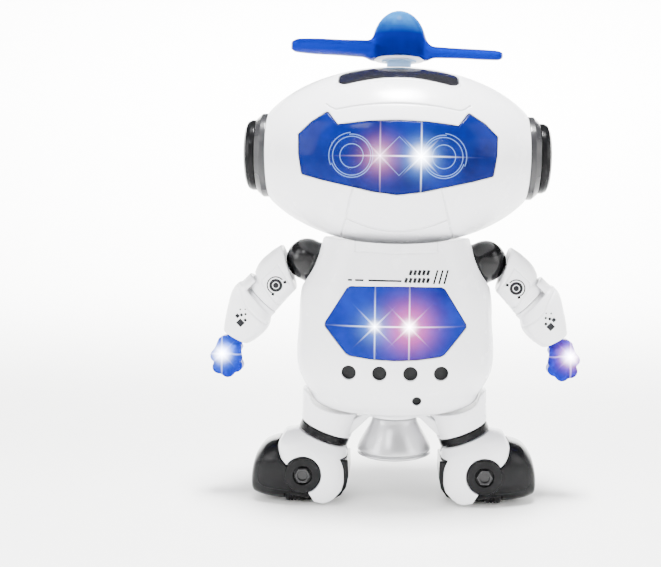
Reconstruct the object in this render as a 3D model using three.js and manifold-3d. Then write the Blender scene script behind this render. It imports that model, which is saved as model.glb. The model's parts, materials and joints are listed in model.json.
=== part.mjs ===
// Toy robot, in millimetres, +Z up, facing -Y, standing on z = 0 under its own middle.
// +X is the robot's left. Left and right pieces are drawn for +X and mirrored.
import * as THREE from 'three';
import { mergeVertices } from 'three/addons/utils/BufferGeometryUtils.js';
import Module from 'manifold-3d';

const wasm = await Module();
wasm.setup();

// ---- driving dimensions ---------------------------------------------------------------------
const GAP = 0.3;                       // clearance between pieces that nearly touch
const WALL = 2.2;                      // moulded wall
const FACET = 0.35;                    // how far a flat facet may cut inside a true round

const HEAD = {
  z: 159, halfWidth: 67, halfDepth: 47, halfHeight: 41,
  earPlane: 58.6, chin: 118.6, earWall: 56.4, holeRadius: 8.4,
};
const VISOR = [
  [0, 171.7], [13, 171.2], [25.4, 169.8], [29.7, 175.5], [36.5, 171.3], [42.1, 166.1],
  [41.9, 158], [40.6, 149.7], [31.5, 147.2], [23.3, 145.4], [10.4, 142.6], [0, 141.3],
];
const TOP_WINDOW = { halfWidth: 26, front: -28, back: -12, corner: 5 };
const EAR = { ringFrom: 58.9, ringTo: 64, capTo: 69, ringRadius: 19, capRadius: 16, bore: 12 };

const ROTOR = {
  reach: 49, turn: 13, pitch: 18, bladeZ: 207.5, hubRadius: 12.5, hubBottom: 203.9, top: 225,
  plateRadius: 11.5, plateZ: 202.3, plateTop: 203.6, sleeveRadius: 5.6, sleeveBore: 4.6,
  gearZ: 187, gearTop: 190, columnRadius: 4.2, columnTop: 215,
};
const ROTOR_GEARS = { module: 0.7, gearTeeth: 24, pinionTeeth: 12 };

const SHELL_SECTIONS = [               // height, half width, half depth, squareness
  [40.8, 16, 13, 2.0], [41.9, 26, 18, 2.0], [44.7, 35, 22, 2.1], [50.8, 39.6, 26.5, 2.2],
  [56, 42.6, 28.9, 2.3], [62.5, 45, 30.5, 2.4], [84.6, 44.6, 31.5, 2.4],
  [98, 43.6, 30.5, 2.4], [110, 38.7, 28.2, 2.4], [127, 31.2, 24, 2.4],
];
const DISH_GAP = 1.5;                  // between the head's turning surface and the torso's top
const CHEST = [
  [0, 101.2], [20, 101], [21.3, 100.2], [30.9, 84.8], [30.9, 83.4], [21.5, 72], [19.8, 71.1],
  [10, 69.8], [0, 69.3],
];
const SOUND_HOLES = { z: 63.3, radius: 3.2, x: [-20.3, -6.8, 6.8, 20.3] };
const NECK = { radius: 8, bore: 5, from: 112.3, to: 128, flange: 11.5 };
const CELL = { radius: 7.25, length: 50.5, y: 15.2, z: 58, pitch: 15.5 };
const DOOR = { halfWidth: 24.5, from: 56.5, to: 110.5 };
const TRAY = { halfWidth: 26, front: 5, floor: 6.6, from: 54.9, to: 111.8 };
const COVER_SCREW = { z: 61, tip: 23.4, seat: 28.9, top: 29.9, shaft: 1.1, head: 2.3 };
const SWITCH = { z: 51, restX: -1.5, halfWidth: 2, slotHalf: [5.5, 1.8], front: 19, knobTo: 28.2 };
const SPEAKER = { z: 60, face: -21.6, rim: -20, back: -17.4, radius: 12, magnet: 7 };
const CONTROL_BOARD = { halfWidth: 27, front: 1.2, back: 2.8, from: 58, to: 102 };
const CHIP = { halfWidth: 8, front: -0.6, from: 88, to: 98 };
const EYE_LIGHTS = { halfWidth: 19, from: 148, to: 166, y: -33, at: [[-7.3, 157], [9.8, 157]] };
const CHEST_LIGHTS = { halfWidth: 16, from: 74, to: 98, y: -22, at: [[-9, 84], [6, 84]] };
const ROTOR_MOTOR = { radius: 8.3, from: 158, to: 183, boss: 3, bossTo: 184.4, shaftFrom: 174 };
const WAIST_MOTOR = { half: [10, 7], from: 57.5, to: 82, boss: 3.4, bossFrom: 56, shaftTo: 68 };
const DRIVE_MOTOR = { x: 30.3, z: 11.6, half: 9.6, radius: 6.3, tab: [1.5, 3, 19.2] };
const SHAFT = { radius: 1, bore: 1.3 };

const WAIST_GEARS = { module: 0.8, gearTeeth: 36, pinionTeeth: 12, z: 50, thickness: 4, angle: -25 };
const SPINDLE_RADIUS = 6;

const SHOULDER = { at: [41.3, 111.5], tilt: 23.3, ball: 9.7, disc: 11.5, recess: 12 };
const UPPER_ARM = [                    // outer and inner edge points, half depth, squareness
  [[52.7, 118.4], [46.1, 97.8], 9.3, 3.6], [[57.8, 115], [49.5, 94.2], 9.8, 3.6],
  [[63, 110], [52.6, 90.8], 9.7, 3.2], [[66, 103.4], [54.9, 88], 9.4, 2.6],
  [[67.3, 97.3], [56.3, 86.4], 8.8, 2.4],
];
const ELBOW = { at: [61.8, 91.9], axis: [0.709, -0.705], gap: 0.9, clear: 10.7 };
const FOREARM = [
  [[71.6, 101.8], [58, 86.6], 10.3, 2.8], [[75.4, 97.3], [58.6, 81.5], 10.5, 3],
  [[77.6, 90], [60.5, 78], 9.6, 3], [[79, 84], [64.5, 74.3], 8.2, 2.8],
  [[79.9, 78], [68.8, 71.7], 6.6, 2.6],
];
const WRIST = { at: [74.3, 74.8], axis: [0.49, -0.872] };
const FIST = [
  [69.4, 71.4], [71.1, 67.8], [71.3, 61.8], [73.4, 58.7], [75.8, 57.6], [78.8, 55.4],
  [82.2, 56.9], [85.2, 62.6], [85.5, 69], [82.8, 75], [79.6, 77.2],
];

const LEG = { at: [32.6, 30.6], down: [0.375, -0.927], ring: 12.1, ringHalf: 1.75, spigot: 5 };
const ANKLE = { at: [41.3, 14.2], radius: 8.4, front: 18.2 };
const PLATE_INNER = [[22, 24.2], [21.4, 21], [22.4, 17], [22.7, 9.6], [26.6, 3.6], [32, 1.2], [36.1, 2.1]];
const PLATE_OUTER = [[48.8, 18.6], [52.8, 23.6], [52.8, 27.6], [50.4, 32.4], [44.6, 33.2]];
const COLLAR = [                       // outer and inner edge points, half depth, squareness
  [[44.6, 33.2], [22.15, 24.2], 12.2, 2], [[54, 30], [21.4, 20], 16.6, 2.6],
  [[55, 21], [21, 13], 18.2, 3.4], [[55, -1], [21, -1], 18.3, 4],
];
const TOE = [                          // x, bottom, top, half depth
  [38, 1.2, 20, 17.9], [44, 1.2, 25, 17.8], [50, 1.4, 28.4, 17.1], [55, 1.9, 28.2, 15.8],
  [60, 2.8, 26.2, 13.4], [63.6, 3.8, 21.8, 10.8], [65.5, 5, 16.2, 8.6], [66, 6.6, 12, 7],
];
const CORE_HALF = 12.2;
const CORE = [[21, 20], [20.8, 12], [21.8, 7], [24.5, 3.2], [28.5, 1.2], [46, 1.2], [46, 20]];
const WHEEL = { x: 46, y: 8, radius: 6, width: 7, axle: 1.5 };
const BELL = [[10.2, 38.3], [10.9, 36], [12.6, 33], [15.2, 29.6], [17, 26.8], [17.3, 25], [16.4, 22],
  [13, 20]];
const STRUT = [[9, 40.2], [14, 40.2], [26, 33.4], [26, 30.2], [20.4, 30.2], [11.6, 38.6],
  [9, 38.6]];

// ---- colours --------------------------------------------------------------------------------
const finish = (color, roughness, metalness = 0, extra = {}) => () =>
  new THREE.MeshStandardMaterial({ color, roughness, metalness, ...extra });
const WHITE = finish(0xf1f1f4, 0.22);
const BLACK = finish(0x2b2b2d, 0.25);
const BLUE = finish(0x1238d6, 0.1, 0, { transparent: true, opacity: 0.75 });
const PALE_BLUE = finish(0x8fb8f0, 0.3);
const LENS = finish(0x1446b4, 0.08, 0, { transparent: true, opacity: 0.8 });
const SMOKE = finish(0x55595f, 0.12, 0, { transparent: true, opacity: 0.85 });
const GREY = finish(0xc9cacd, 0.3);
const SILVER = finish(0xc4c5c8, 0.28, 0.35);
const BOARD = finish(0x1f5b3a, 0.5);
const STEEL = finish(0xb4b6b8, 0.35, 0.9);
const GEAR_WHITE = finish(0xe9e6dc, 0.45);
const CELL_SKIN = finish(0x3f4a52, 0.35, 0.3);
const LIGHT = finish(0xf6f8ff, 0.15);

// ---- solids ---------------------------------------------------------------------------------
// How many sides a round of this radius needs to stay within the facet tolerance.
function sides(radius) {
  const exact = Math.PI / (2 * Math.acos(1 - Math.min(FACET / radius, 0.5)));
  return Math.max(8, Math.min(24, 2 * Math.ceil(exact)));
}
const vec = (x, y, z) => new THREE.Vector3(x, y, z);
const inPlane = ([x, z]) => vec(x, 0, z);
const along = ([x, z], [dx, dz], distance) => [x + dx * distance, z + dz * distance];
const radians = THREE.MathUtils.degToRad;

// A closed three.js geometry as a solid for joining and cutting, faces outwards.
function solid(geometry) {
  const bare = geometry.clone();
  bare.deleteAttribute('normal');
  bare.deleteAttribute('uv');
  const merged = mergeVertices(bare, 1e-4);
  const points = merged.attributes.position;
  const corner = (i) => vec(points.getX(i), points.getY(i), points.getZ(i));
  const faces = [];
  let volume = 0;
  for (let i = 0; i < merged.index.count; i += 3) {
    const [a, b, c] = merged.index.array.subarray(i, i + 3);
    if (a === b || b === c || c === a) continue;
    faces.push([a, b, c]);
    volume += corner(a).dot(corner(b).cross(corner(c)));
  }
  const triVerts = new Uint32Array(faces.flatMap(([a, b, c]) => (volume > 0 ? [a, b, c] : [a, c, b])));
  const vertProperties = new Float32Array(points.array);
  return new wasm.Manifold(new wasm.Mesh({ numProp: 3, vertProperties, triVerts }));
}

const join = (...bodies) => bodies.reduce((whole, body) => whole.add(body));
const cut = (whole, ...tools) => tools.reduce((left, tool) => left.subtract(tool), whole);

function geometryOf(body) {
  const { vertProperties, triVerts } = body.getMesh();
  const geometry = new THREE.BufferGeometry();
  geometry.setAttribute('position', new THREE.BufferAttribute(vertProperties, 3));
  geometry.setIndex(new THREE.BufferAttribute(triVerts, 1));
  geometry.computeVertexNormals();
  return geometry;
}

// The same geometry on the robot's other side, with its faces still outwards.
function mirrored(geometry) {
  const copy = geometry.clone();
  copy.scale(-1, 1, 1);
  const index = copy.index.array;
  for (let i = 0; i < index.length; i += 3) [index[i], index[i + 1]] = [index[i + 1], index[i]];
  copy.computeVertexNormals();
  return copy;
}

function block(low, high) {
  const size = high.map((value, i) => value - low[i]);
  const geometry = new THREE.BoxGeometry(...size);
  geometry.translate(...low.map((value, i) => value + size[i] / 2));
  return solid(geometry);
}

function ball(centre, radii, around = sides(Math.max(...radii))) {
  const geometry = new THREE.SphereGeometry(1, around, around / 2);
  geometry.rotateX(Math.PI / 2);
  geometry.scale(...radii);
  geometry.translate(...centre);
  return solid(geometry);
}

function rod(from, to, radius, segments = sides(radius)) {
  const axis = to.clone().sub(from);
  const geometry = new THREE.CylinderGeometry(radius, radius, axis.length(), segments);
  geometry.applyQuaternion(new THREE.Quaternion().setFromUnitVectors(vec(0, 1, 0), axis.normalize()));
  geometry.translate(...from.clone().add(to).multiplyScalar(0.5).toArray());
  return solid(geometry);
}

const uprightRod = (x, y, low, high, radius) => rod(vec(x, y, low), vec(x, y, high), radius);

// A profile of [radius, height] turned about the vertical axis.
function turned(profile, segments = sides(Math.max(...profile.map(([r]) => r)))) {
  const geometry = new THREE.LatheGeometry(profile.map(([r, z]) => new THREE.Vector2(r, z)), segments);
  geometry.rotateX(Math.PI / 2);
  return geometry;
}

const shapeOf = (outline) => new THREE.Shape(outline.map(([u, v]) => new THREE.Vector2(u, v)));

// An outline of [x, z] points, thick along y.
function slab(outline, yLow, yHigh) {
  const geometry = new THREE.ExtrudeGeometry(shapeOf(outline), { depth: yHigh - yLow, bevelEnabled: false });
  geometry.rotateX(Math.PI / 2);
  geometry.translate(0, yHigh, 0);
  return solid(geometry);
}

// An outline of [x, y] points, thick along z.
function tile(outline, zLow, zHigh) {
  const geometry = new THREE.ExtrudeGeometry(shapeOf(outline), { depth: zHigh - zLow, bevelEnabled: false });
  geometry.translate(0, 0, zLow);
  return solid(geometry);
}

// Rings of equal length joined into one closed skin, with flat ends.
function loft(rings) {
  const count = rings[0].length;
  const middle = (ring) => ring.reduce((sum, p) => sum.add(p), vec(0, 0, 0)).divideScalar(count);
  const points = [...rings.flat(), middle(rings[0]), middle(rings.at(-1))];
  const start = rings.length * count;
  const index = [];
  for (let i = 0; i < count; i += 1) {
    const next = (i + 1) % count;
    for (let r = 0; r < rings.length - 1; r += 1) {
      const [a, b] = [r * count + i, r * count + next];
      index.push(a, b, b + count, a, b + count, a + count);
    }
    const last = (rings.length - 1) * count;
    index.push(start, next, i, start + 1, last + i, last + next);
  }
  const geometry = new THREE.BufferGeometry();
  geometry.setAttribute('position', new THREE.Float32BufferAttribute(points.flatMap((p) => p.toArray()), 3));
  geometry.setIndex(index);
  return solid(geometry);
}

// Points round a superellipse: power 2 is an ellipse, larger is squarer.
function squircle(count, power) {
  const bend = (value) => Math.sign(value) * Math.abs(value) ** (2 / power);
  return Array.from({ length: count }, (_, i) => {
    const angle = ((i + 0.5) / count) * 2 * Math.PI;
    return [bend(Math.cos(angle)), bend(Math.sin(angle))];
  });
}

// A loft through sections given by two edge points in the XZ plane and a half depth along y.
function limb(sections, count = 14) {
  return loft(sections.map(([outer, inner, halfDepth, power]) => {
    const middle = inPlane(outer).add(inPlane(inner)).multiplyScalar(0.5);
    const reach = inPlane(outer).sub(middle);
    return squircle(count, power).map(([u, v]) =>
      middle.clone().addScaledVector(reach, u).add(vec(0, v * halfDepth, 0)));
  }));
}

// An outline moved outwards by a distance; its points run round in either direction.
function grown(outline, distance) {
  const turn = Math.sign(outline.reduce((sum, [x, y], i) => {
    const [nx, ny] = outline[(i + 1) % outline.length];
    return sum + x * ny - nx * y;
  }, 0));
  const normal = ([ax, ay], [bx, by]) => {
    const length = Math.hypot(bx - ax, by - ay);
    return [(turn * (by - ay)) / length, (-turn * (bx - ax)) / length];
  };
  return outline.map((point, i) => {
    const before = normal(outline.at(i - 1), point);
    const after = normal(point, outline[(i + 1) % outline.length]);
    const scale = distance / (1 + before[0] * after[0] + before[1] * after[1]);
    return [point[0] + (before[0] + after[0]) * scale, point[1] + (before[1] + after[1]) * scale];
  });
}

// A right half outline, top to bottom, with its mirror image.
const bothSides = (half) => [...half, ...half.slice(1, -1).reverse().map(([x, z]) => [-x, z])];

function arc([cx, cz], radius, fromDegrees, toDegrees, steps) {
  return Array.from({ length: steps + 1 }, (_, i) => {
    const angle = radians(fromDegrees + ((toDegrees - fromDegrees) * i) / steps);
    return [cx + radius * Math.cos(angle), cz + radius * Math.sin(angle)];
  });
}

// A spur gear about the vertical axis. Each flank is the chord of its involute, less some backlash.
function gear(module, teeth, thickness, bore, phase = 0) {
  const pressure = radians(20);
  const pitch = (module * teeth) / 2;
  const base = pitch * Math.cos(pressure);
  const involute = (angle) => Math.tan(angle) - angle;
  const halfTooth = (r) => {
    const angle = Math.acos(Math.min(1, base / Math.max(r, base)));
    return (Math.PI / (2 * teeth)) * 0.88 + involute(pressure) - involute(angle);
  };
  const radii = [pitch - 1.15 * module, pitch + 0.8 * module];
  const outline = [];
  for (let tooth = 0; tooth < teeth; tooth += 1) {
    const middle = phase + (tooth / teeth) * 2 * Math.PI;
    const point = (r, side) => {
      const angle = middle + side * halfTooth(r);
      return [r * Math.cos(angle), r * Math.sin(angle)];
    };
    outline.push(...radii.map((r) => point(r, -1)), ...radii.toReversed().map((r) => point(r, 1)));
  }
  const body = tile(outline, 0, thickness);
  return bore ? cut(body, uprightRod(0, 0, -1, thickness + 1, bore)) : body;
}

// ---- head -----------------------------------------------------------------------------------
const headSkin = (inset) => ball(
  [0, 0, HEAD.z], [HEAD.halfWidth - inset, HEAD.halfDepth - inset, HEAD.halfHeight - inset]);
const roundedRectangle = ({ halfWidth, front, back, corner }) => [
  ...arc([halfWidth - corner, back - corner], corner, 90, 0, 3),
  ...arc([halfWidth - corner, front + corner], corner, 0, -90, 3),
  ...arc([-halfWidth + corner, front + corner], corner, -90, -180, 3),
  ...arc([-halfWidth + corner, back - corner], corner, -180, -270, 3),
];

function headShells() {
  const { earPlane, earWall, chin, holeRadius, z, halfHeight } = HEAD;
  const outer = headSkin(0).intersect(block([-earPlane, -60, chin], [earPlane, 60, z + halfHeight + 5]));
  const inner = headSkin(WALL).intersect(block([-earWall, -60, chin + 1.6], [earWall, 60, 210]));
  const shell = cut(
    outer, inner,
    uprightRod(0, 0, 100, 130, holeRadius),
    uprightRod(0, 0, 190, 210, ROTOR.sleeveRadius + 0.4),
    rod(vec(-80, 0, z), vec(80, 0, z), EAR.bore + 0.4),
    slab(grown(bothSides(VISOR), GAP), -60, -5),
    tile(grown(roundedRectangle(TOP_WINDOW), GAP), z + 10, 210),
  );
  const seam = GAP / 2;
  return {
    front: shell.intersect(block([-80, -60, 100], [80, -seam, 210])),
    rear: shell.intersect(block([-80, seam, 100], [80, 60, 210])),
  };
}

// A window pane flush with the shell, and the wider edge that holds it from behind.
function headPane(prism, widePrism) {
  const pane = cut(headSkin(0.1).intersect(prism), headSkin(WALL + 0.5));
  const edge = cut(headSkin(WALL + GAP).intersect(widePrism), headSkin(WALL + 1.5));
  return join(pane, edge);
}

const visorLens = () => headPane(
  slab(bothSides(VISOR), -60, -5), slab(grown(bothSides(VISOR), 2), -60, -5));
const topWindow = () => headPane(
  tile(roundedRectangle(TOP_WINDOW), 175, 210), tile(grown(roundedRectangle(TOP_WINDOW), 1.5), 175, 210));

// A flat board across the robot with domed lights on its front.
function lightBoard({ halfWidth, from, to, y, at }) {
  const board = block([-halfWidth, y, from], [halfWidth, y + 1.6, to]);
  return join(board, ...at.map(([x, z]) => ball([x, y - 1.6, z], [2.5, 3, 2.5])));
}

function earRing() {
  const { ringFrom, ringTo, ringRadius, bore } = EAR;
  const profile = [[bore, ringFrom], [ringRadius, ringFrom], [ringRadius, ringFrom + 2.6],
    [16.8, ringTo], [bore, ringTo], [bore, ringFrom]];
  return turned(profile).rotateY(Math.PI / 2).translate(0, 0, HEAD.z);
}

function earCap() {
  const { ringTo, capTo, capRadius, bore } = EAR;
  const spigot = bore - GAP;
  const profile = [[0, 57], [spigot, 57], [spigot, ringTo + GAP], [capRadius, ringTo + GAP],
    [capRadius, ringTo + 2.4], [15.3, capTo - 0.9], [13.4, capTo], [0, capTo]];
  return turned(profile).rotateY(Math.PI / 2).translate(0, 0, HEAD.z);
}

// The fixed tube in the rotor's middle, on a bar that the two head shells clamp.
function rotorColumn() {
  const { columnRadius, columnTop } = ROTOR;
  return join(
    uprightRod(0, 0, 183, columnTop, columnRadius),
    block([-48, -3, 180.5], [48, 3, 183.5]),
  );
}

const rotorLightBoard = () => join(
  uprightRod(0, 0, ROTOR.columnTop + GAP, ROTOR.columnTop + 1.8, 8.3),
  uprightRod(0, 0, ROTOR.columnTop + 1, ROTOR.columnTop + 3.2, 2),
  ball([0, 0, ROTOR.columnTop + 3.4], [2.3, 2.3, 2.3]),
);

const ROTOR_MOTOR_Y = (ROTOR_GEARS.module * (ROTOR_GEARS.gearTeeth + ROTOR_GEARS.pinionTeeth)) / 2;
const rotorMotor = () => {
  const { radius, from, to, boss, bossTo, shaftFrom } = ROTOR_MOTOR;
  return cut(
    join(uprightRod(0, 0, from, to, radius), uprightRod(0, 0, to, bossTo, boss)),
    uprightRod(0, 0, shaftFrom, bossTo + 1.6, SHAFT.bore),
  );
};
const rotorPinion = () => join(
  gear(ROTOR_GEARS.module, ROTOR_GEARS.pinionTeeth, 3, 0, Math.PI / ROTOR_GEARS.pinionTeeth),
  uprightRod(0, 0, -12, 4, SHAFT.radius),
);

// ---- rotor ----------------------------------------------------------------------------------
// One blade: sections across its chord, twisted to its pitch, running out along +X.
function blade(direction) {
  const { reach, pitch, bladeZ } = ROTOR;
  const stations = [[8, 13, 3.4], [14, 14.6, 3.6], [44, 11.6, 2.8], [reach, 8.5, 1.6]];
  const rings = stations.map(([x, chord, thick]) => squircle(8, 2.4).map(([u, v]) => {
    const lean = radians(pitch);
    const [y, z] = [(u * chord) / 2, (v * thick) / 2];
    return vec(x, y * Math.cos(lean) - z * Math.sin(lean), y * Math.sin(lean) + z * Math.cos(lean));
  }));
  const turn = radians(ROTOR.turn) + (direction > 0 ? 0 : Math.PI);
  rings.flat().forEach((p) => p.applyAxisAngle(vec(0, 0, 1), turn).add(vec(0, 0, bladeZ)));
  return loft(rings);
}

function rotorBlades() {
  const { hubRadius, hubBottom, top } = ROTOR;
  const shoulder = 209;
  const wall = 1.3;
  const dome = (r, from, to) => [[0, from], [r - 0.6, from],
    ...Array.from({ length: 5 }, (_, i) => {
      const angle = (i / 5) * (Math.PI / 2);
      return [r * Math.cos(angle), shoulder + (to - shoulder) * Math.sin(angle)];
    }), [0, to]];
  return cut(
    join(solid(turned(dome(hubRadius, hubBottom, top))), blade(1), blade(-1)),
    solid(turned(dome(hubRadius - wall, hubBottom - 1, top - wall))),
  );
}

const rotorBasePlate = () => {
  const { plateRadius, plateZ, plateTop, sleeveRadius, sleeveBore, gearZ } = ROTOR;
  const outside = join(
    uprightRod(0, 0, plateZ, plateTop, plateRadius),
    uprightRod(0, 0, gearZ - 2, plateTop, sleeveRadius),
  );
  return cut(outside, uprightRod(0, 0, gearZ - 5, plateTop + 5, sleeveBore));
};

const rotorGear = () => gear(ROTOR_GEARS.module, ROTOR_GEARS.gearTeeth, 3, ROTOR.sleeveRadius + GAP);

// ---- torso ----------------------------------------------------------------------------------
const torsoSkin = (inset, from = -Infinity, count = 20) => loft(
  SHELL_SECTIONS.filter(([z]) => z >= from).map(([z, a, d, power]) =>
    squircle(count, power).map(([u, v]) => vec(u * (a - inset), v * (d - inset), z))));

// The lowest surface that the head can sweep as it turns, less a gap; the torso's top follows it.
function dishTool(gap) {
  const profile = [[0, HEAD.z - HEAD.halfHeight - gap]];
  for (let r = 12; r <= 48; r += 12) {
    profile.push([r, HEAD.z - HEAD.halfHeight * Math.sqrt(1 - (r / HEAD.halfWidth) ** 2) - gap]);
  }
  profile.push([48, 140], [0, 140]);
  return solid(turned(profile, 20));
}

const shoulderAxis = [Math.cos(radians(SHOULDER.tilt)), Math.sin(radians(SHOULDER.tilt))];
const shoulderRod = (from, to, radius) => rod(
  inPlane(along(SHOULDER.at, shoulderAxis, from)), inPlane(along(SHOULDER.at, shoulderAxis, to)), radius);
const otherSide = (body) => solid(mirrored(geometryOf(body)));

const shoulderBoss = shoulderRod(-8.8, -2, 13.2);
const shoulderCut = join(shoulderRod(-6.1, 20, SHOULDER.recess), shoulderRod(-14, 0, 4));

const doorOpening = (inset) => block(
  [-DOOR.halfWidth + inset, 6, DOOR.from + inset], [DOOR.halfWidth - inset, 60, DOOR.to - inset]);

function torsoShells() {
  const [slotX, slotZ] = SWITCH.slotHalf;
  const outer = torsoSkin(0).subtract(dishTool(DISH_GAP));
  const inner = torsoSkin(WALL, 44).subtract(dishTool(DISH_GAP + 2.4));
  const bosses = join(shoulderBoss, otherSide(shoulderBoss)).intersect(outer);
  const tray = cut(
    block([-TRAY.halfWidth, TRAY.front, TRAY.from], [TRAY.halfWidth, 40, TRAY.to]).intersect(outer),
    block([-DOOR.halfWidth, TRAY.floor, DOOR.from], [DOOR.halfWidth, 60, DOOR.to]),
  );
  const shell = cut(
    join(cut(outer, inner), bosses, tray),
    shoulderCut, otherSide(shoulderCut),
    uprightRod(0, 0, 30, 60, SPINDLE_RADIUS + 0.5),
    uprightRod(0, 0, 112.8, 130, NECK.radius + GAP),
    slab(grown(bothSides(CHEST), GAP), -60, -5),
    doorOpening(0),
    ...SOUND_HOLES.x.map((x) => rod(vec(x, -50, SOUND_HOLES.z), vec(x, -15, SOUND_HOLES.z),
      SOUND_HOLES.radius)),
    block([-slotX, 15, SWITCH.z - slotZ], [slotX, 40, SWITCH.z + slotZ]),
  );
  const seam = GAP / 2;
  return {
    front: shell.intersect(block([-60, -50, 30], [60, -seam, 130])),
    rear: shell.intersect(block([-60, seam, 30], [60, 50, 130])),
  };
}

function chestLens() {
  const pane = cut(torsoSkin(0.1).intersect(slab(bothSides(CHEST), -60, -5)), torsoSkin(WALL + 0.6));
  const edge = torsoSkin(WALL + GAP).intersect(slab(grown(bothSides(CHEST), 2), -60, -5));
  return join(pane, cut(edge, torsoSkin(WALL + 1.5)));
}

function neckSpindle() {
  const { radius, bore, from, to, flange } = NECK;
  const tube = join(
    uprightRod(0, 0, from, to, radius),
    uprightRod(0, 0, from, 113.9, 12),
    uprightRod(0, 0, 122.4, 124.4, flange),
  );
  return cut(tube, uprightRod(0, 0, from - 1, to + 1, bore));
}

function batteryCell() {
  const { radius, length } = CELL;
  const profile = [[0, 0], [radius - 0.8, 0], [radius, 0.6], [radius, length - 1.8], [radius - 0.9, length - 1],
    [2.6, length - 1], [2.6, length], [0, length]];
  return turned(profile, 12);
}

function batteryCover() {
  const { z, shaft, head, seat } = COVER_SCREW;
  const panel = cut(torsoSkin(0), torsoSkin(WALL)).intersect(doorOpening(GAP));
  return cut(
    panel,
    rod(vec(0, 10, z), vec(0, 40, z), shaft + GAP),
    rod(vec(0, seat - GAP, z), vec(0, 40, z), head + 0.4),
  );
}

const coverScrew = () => {
  const { z, tip, seat, top, shaft, head } = COVER_SCREW;
  return join(rod(vec(0, tip, z), vec(0, seat, z), shaft), rod(vec(0, seat, z), vec(0, top, z), head));
};

function powerSwitch() {
  const { z, restX, halfWidth, front, knobTo } = SWITCH;
  return join(
    block([restX - halfWidth, front + 1, z - 1.4], [restX + halfWidth, knobTo, z + 1.4]),
    block([restX - 4.5, front, z - 2.3], [restX + 4.5, front + 1.6, z + 2.3]),
  );
}

const speaker = () => {
  const { z, face, rim, back, radius, magnet } = SPEAKER;
  return join(rod(vec(0, face, z), vec(0, rim, z), radius), rod(vec(0, rim, z), vec(0, back, z), magnet));
};

const controlBoard = () => {
  const { halfWidth, front, back, from, to } = CONTROL_BOARD;
  return join(
    block([-halfWidth, front, from], [halfWidth, back, to]),
    block([-CHIP.halfWidth, CHIP.front, CHIP.from], [CHIP.halfWidth, front + 0.4, CHIP.to]),
  );
};

// ---- waist ----------------------------------------------------------------------------------
const waistCentres = (WAIST_GEARS.module * (WAIST_GEARS.gearTeeth + WAIST_GEARS.pinionTeeth)) / 2;
const PINION_X = waistCentres * Math.cos(radians(WAIST_GEARS.angle));
const PINION_Y = waistCentres * Math.sin(radians(WAIST_GEARS.angle));

function pelvisFrame() {
  const strut = slab(STRUT, -5, 5);
  return join(
    uprightRod(0, 0, 22, 39, 5),
    uprightRod(0, 0, 38.6, 40.3, 11),
    uprightRod(0, 0, 39, 54.5, SPINDLE_RADIUS),
    uprightRod(0, 0, 45.2, 47.2, 10),
    strut, otherSide(strut),
  );
}

function waistGear() {
  const { module, gearTeeth, thickness } = WAIST_GEARS;
  return gear(module, gearTeeth, thickness, SPINDLE_RADIUS + GAP, radians(WAIST_GEARS.angle));
}

function waistPinion() {
  const { module, pinionTeeth, thickness, angle } = WAIST_GEARS;
  const phase = radians(angle) + Math.PI + Math.PI / pinionTeeth;
  return join(
    gear(module, pinionTeeth, thickness, 0, phase),
    uprightRod(0, 0, -1, 16, SHAFT.radius),
  );
}

const waistMotor = () => {
  const { half: [x, y], from, to, boss, bossFrom, shaftTo } = WAIST_MOTOR;
  return cut(
    join(block([-x, -y, from], [x, y, to]), uprightRod(0, 0, bossFrom, from, boss)),
    uprightRod(0, 0, 50, shaftTo, SHAFT.bore),
  );
};

function skirtBell() {
  const wall = 1.6;
  const outside = solid(turned([[0, BELL[0][1]], ...BELL, [0, 20]], 20));
  const inner = BELL.map(([r, z]) => [r - wall, Math.max(z, 21.7)]);
  const inside = solid(turned([[0, 36.6], [9, 36.6], ...inner.slice(2), [0, 21.7]], 12));
  return cut(outside, inside, uprightRod(0, 0, 30, 45, 5 + GAP));
}

// ---- legs -----------------------------------------------------------------------------------
const legRod = (from, to, radius) => rod(
  inPlane(along(LEG.at, LEG.down, from)), inPlane(along(LEG.at, LEG.down, to)), radius);

function bowlTool() {
  const sweep = SHELL_SECTIONS.slice(0, 6).map(([z, a]) => [a + 0.8, z - 0.8]);
  return solid(turned([[0, sweep[0][1]], ...sweep, [0, 73]], 30));
}

function thigh() {
  const half = LEG.ringHalf + GAP;
  const top = along(LEG.at, LEG.down, -half);
  const across = [-LEG.down[1], LEG.down[0]];
  const body = limb([
    [along(top, across, 12.3), along(top, across, -12.3), 12.3, 2],
    [[43, 43], [17.6, 37.5], 12.8, 2.1], [[42.8, 52], [14.5, 50], 13.2, 2.1],
  ], 18);
  const pocket = slab(grown(STRUT, GAP), -5.3, 5.3);
  return join(cut(body, bowlTool(), pocket), legRod(-half - 1, 6, LEG.spigot - GAP));
}

const legRing = () => cut(
  legRod(-LEG.ringHalf, LEG.ringHalf, LEG.ring), legRod(-9, 9, LEG.spigot));

const plateOutline = [
  ...PLATE_INNER, ...arc(ANKLE.at, ANKLE.radius, -108, -330, 8), ...PLATE_OUTER];

function shank() {
  const body = limb(COLLAR, 18).intersect(slab(plateOutline, -20, 20));
  return cut(
    body,
    block([0, -CORE_HALF - GAP, -5], [60, CORE_HALF + GAP, 20.3]),
    legRod(-5, 7, LEG.spigot),
    rod(vec(10, 0, 25.3), vec(24, 0, 25.3), 3.9),
  );
}

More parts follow.
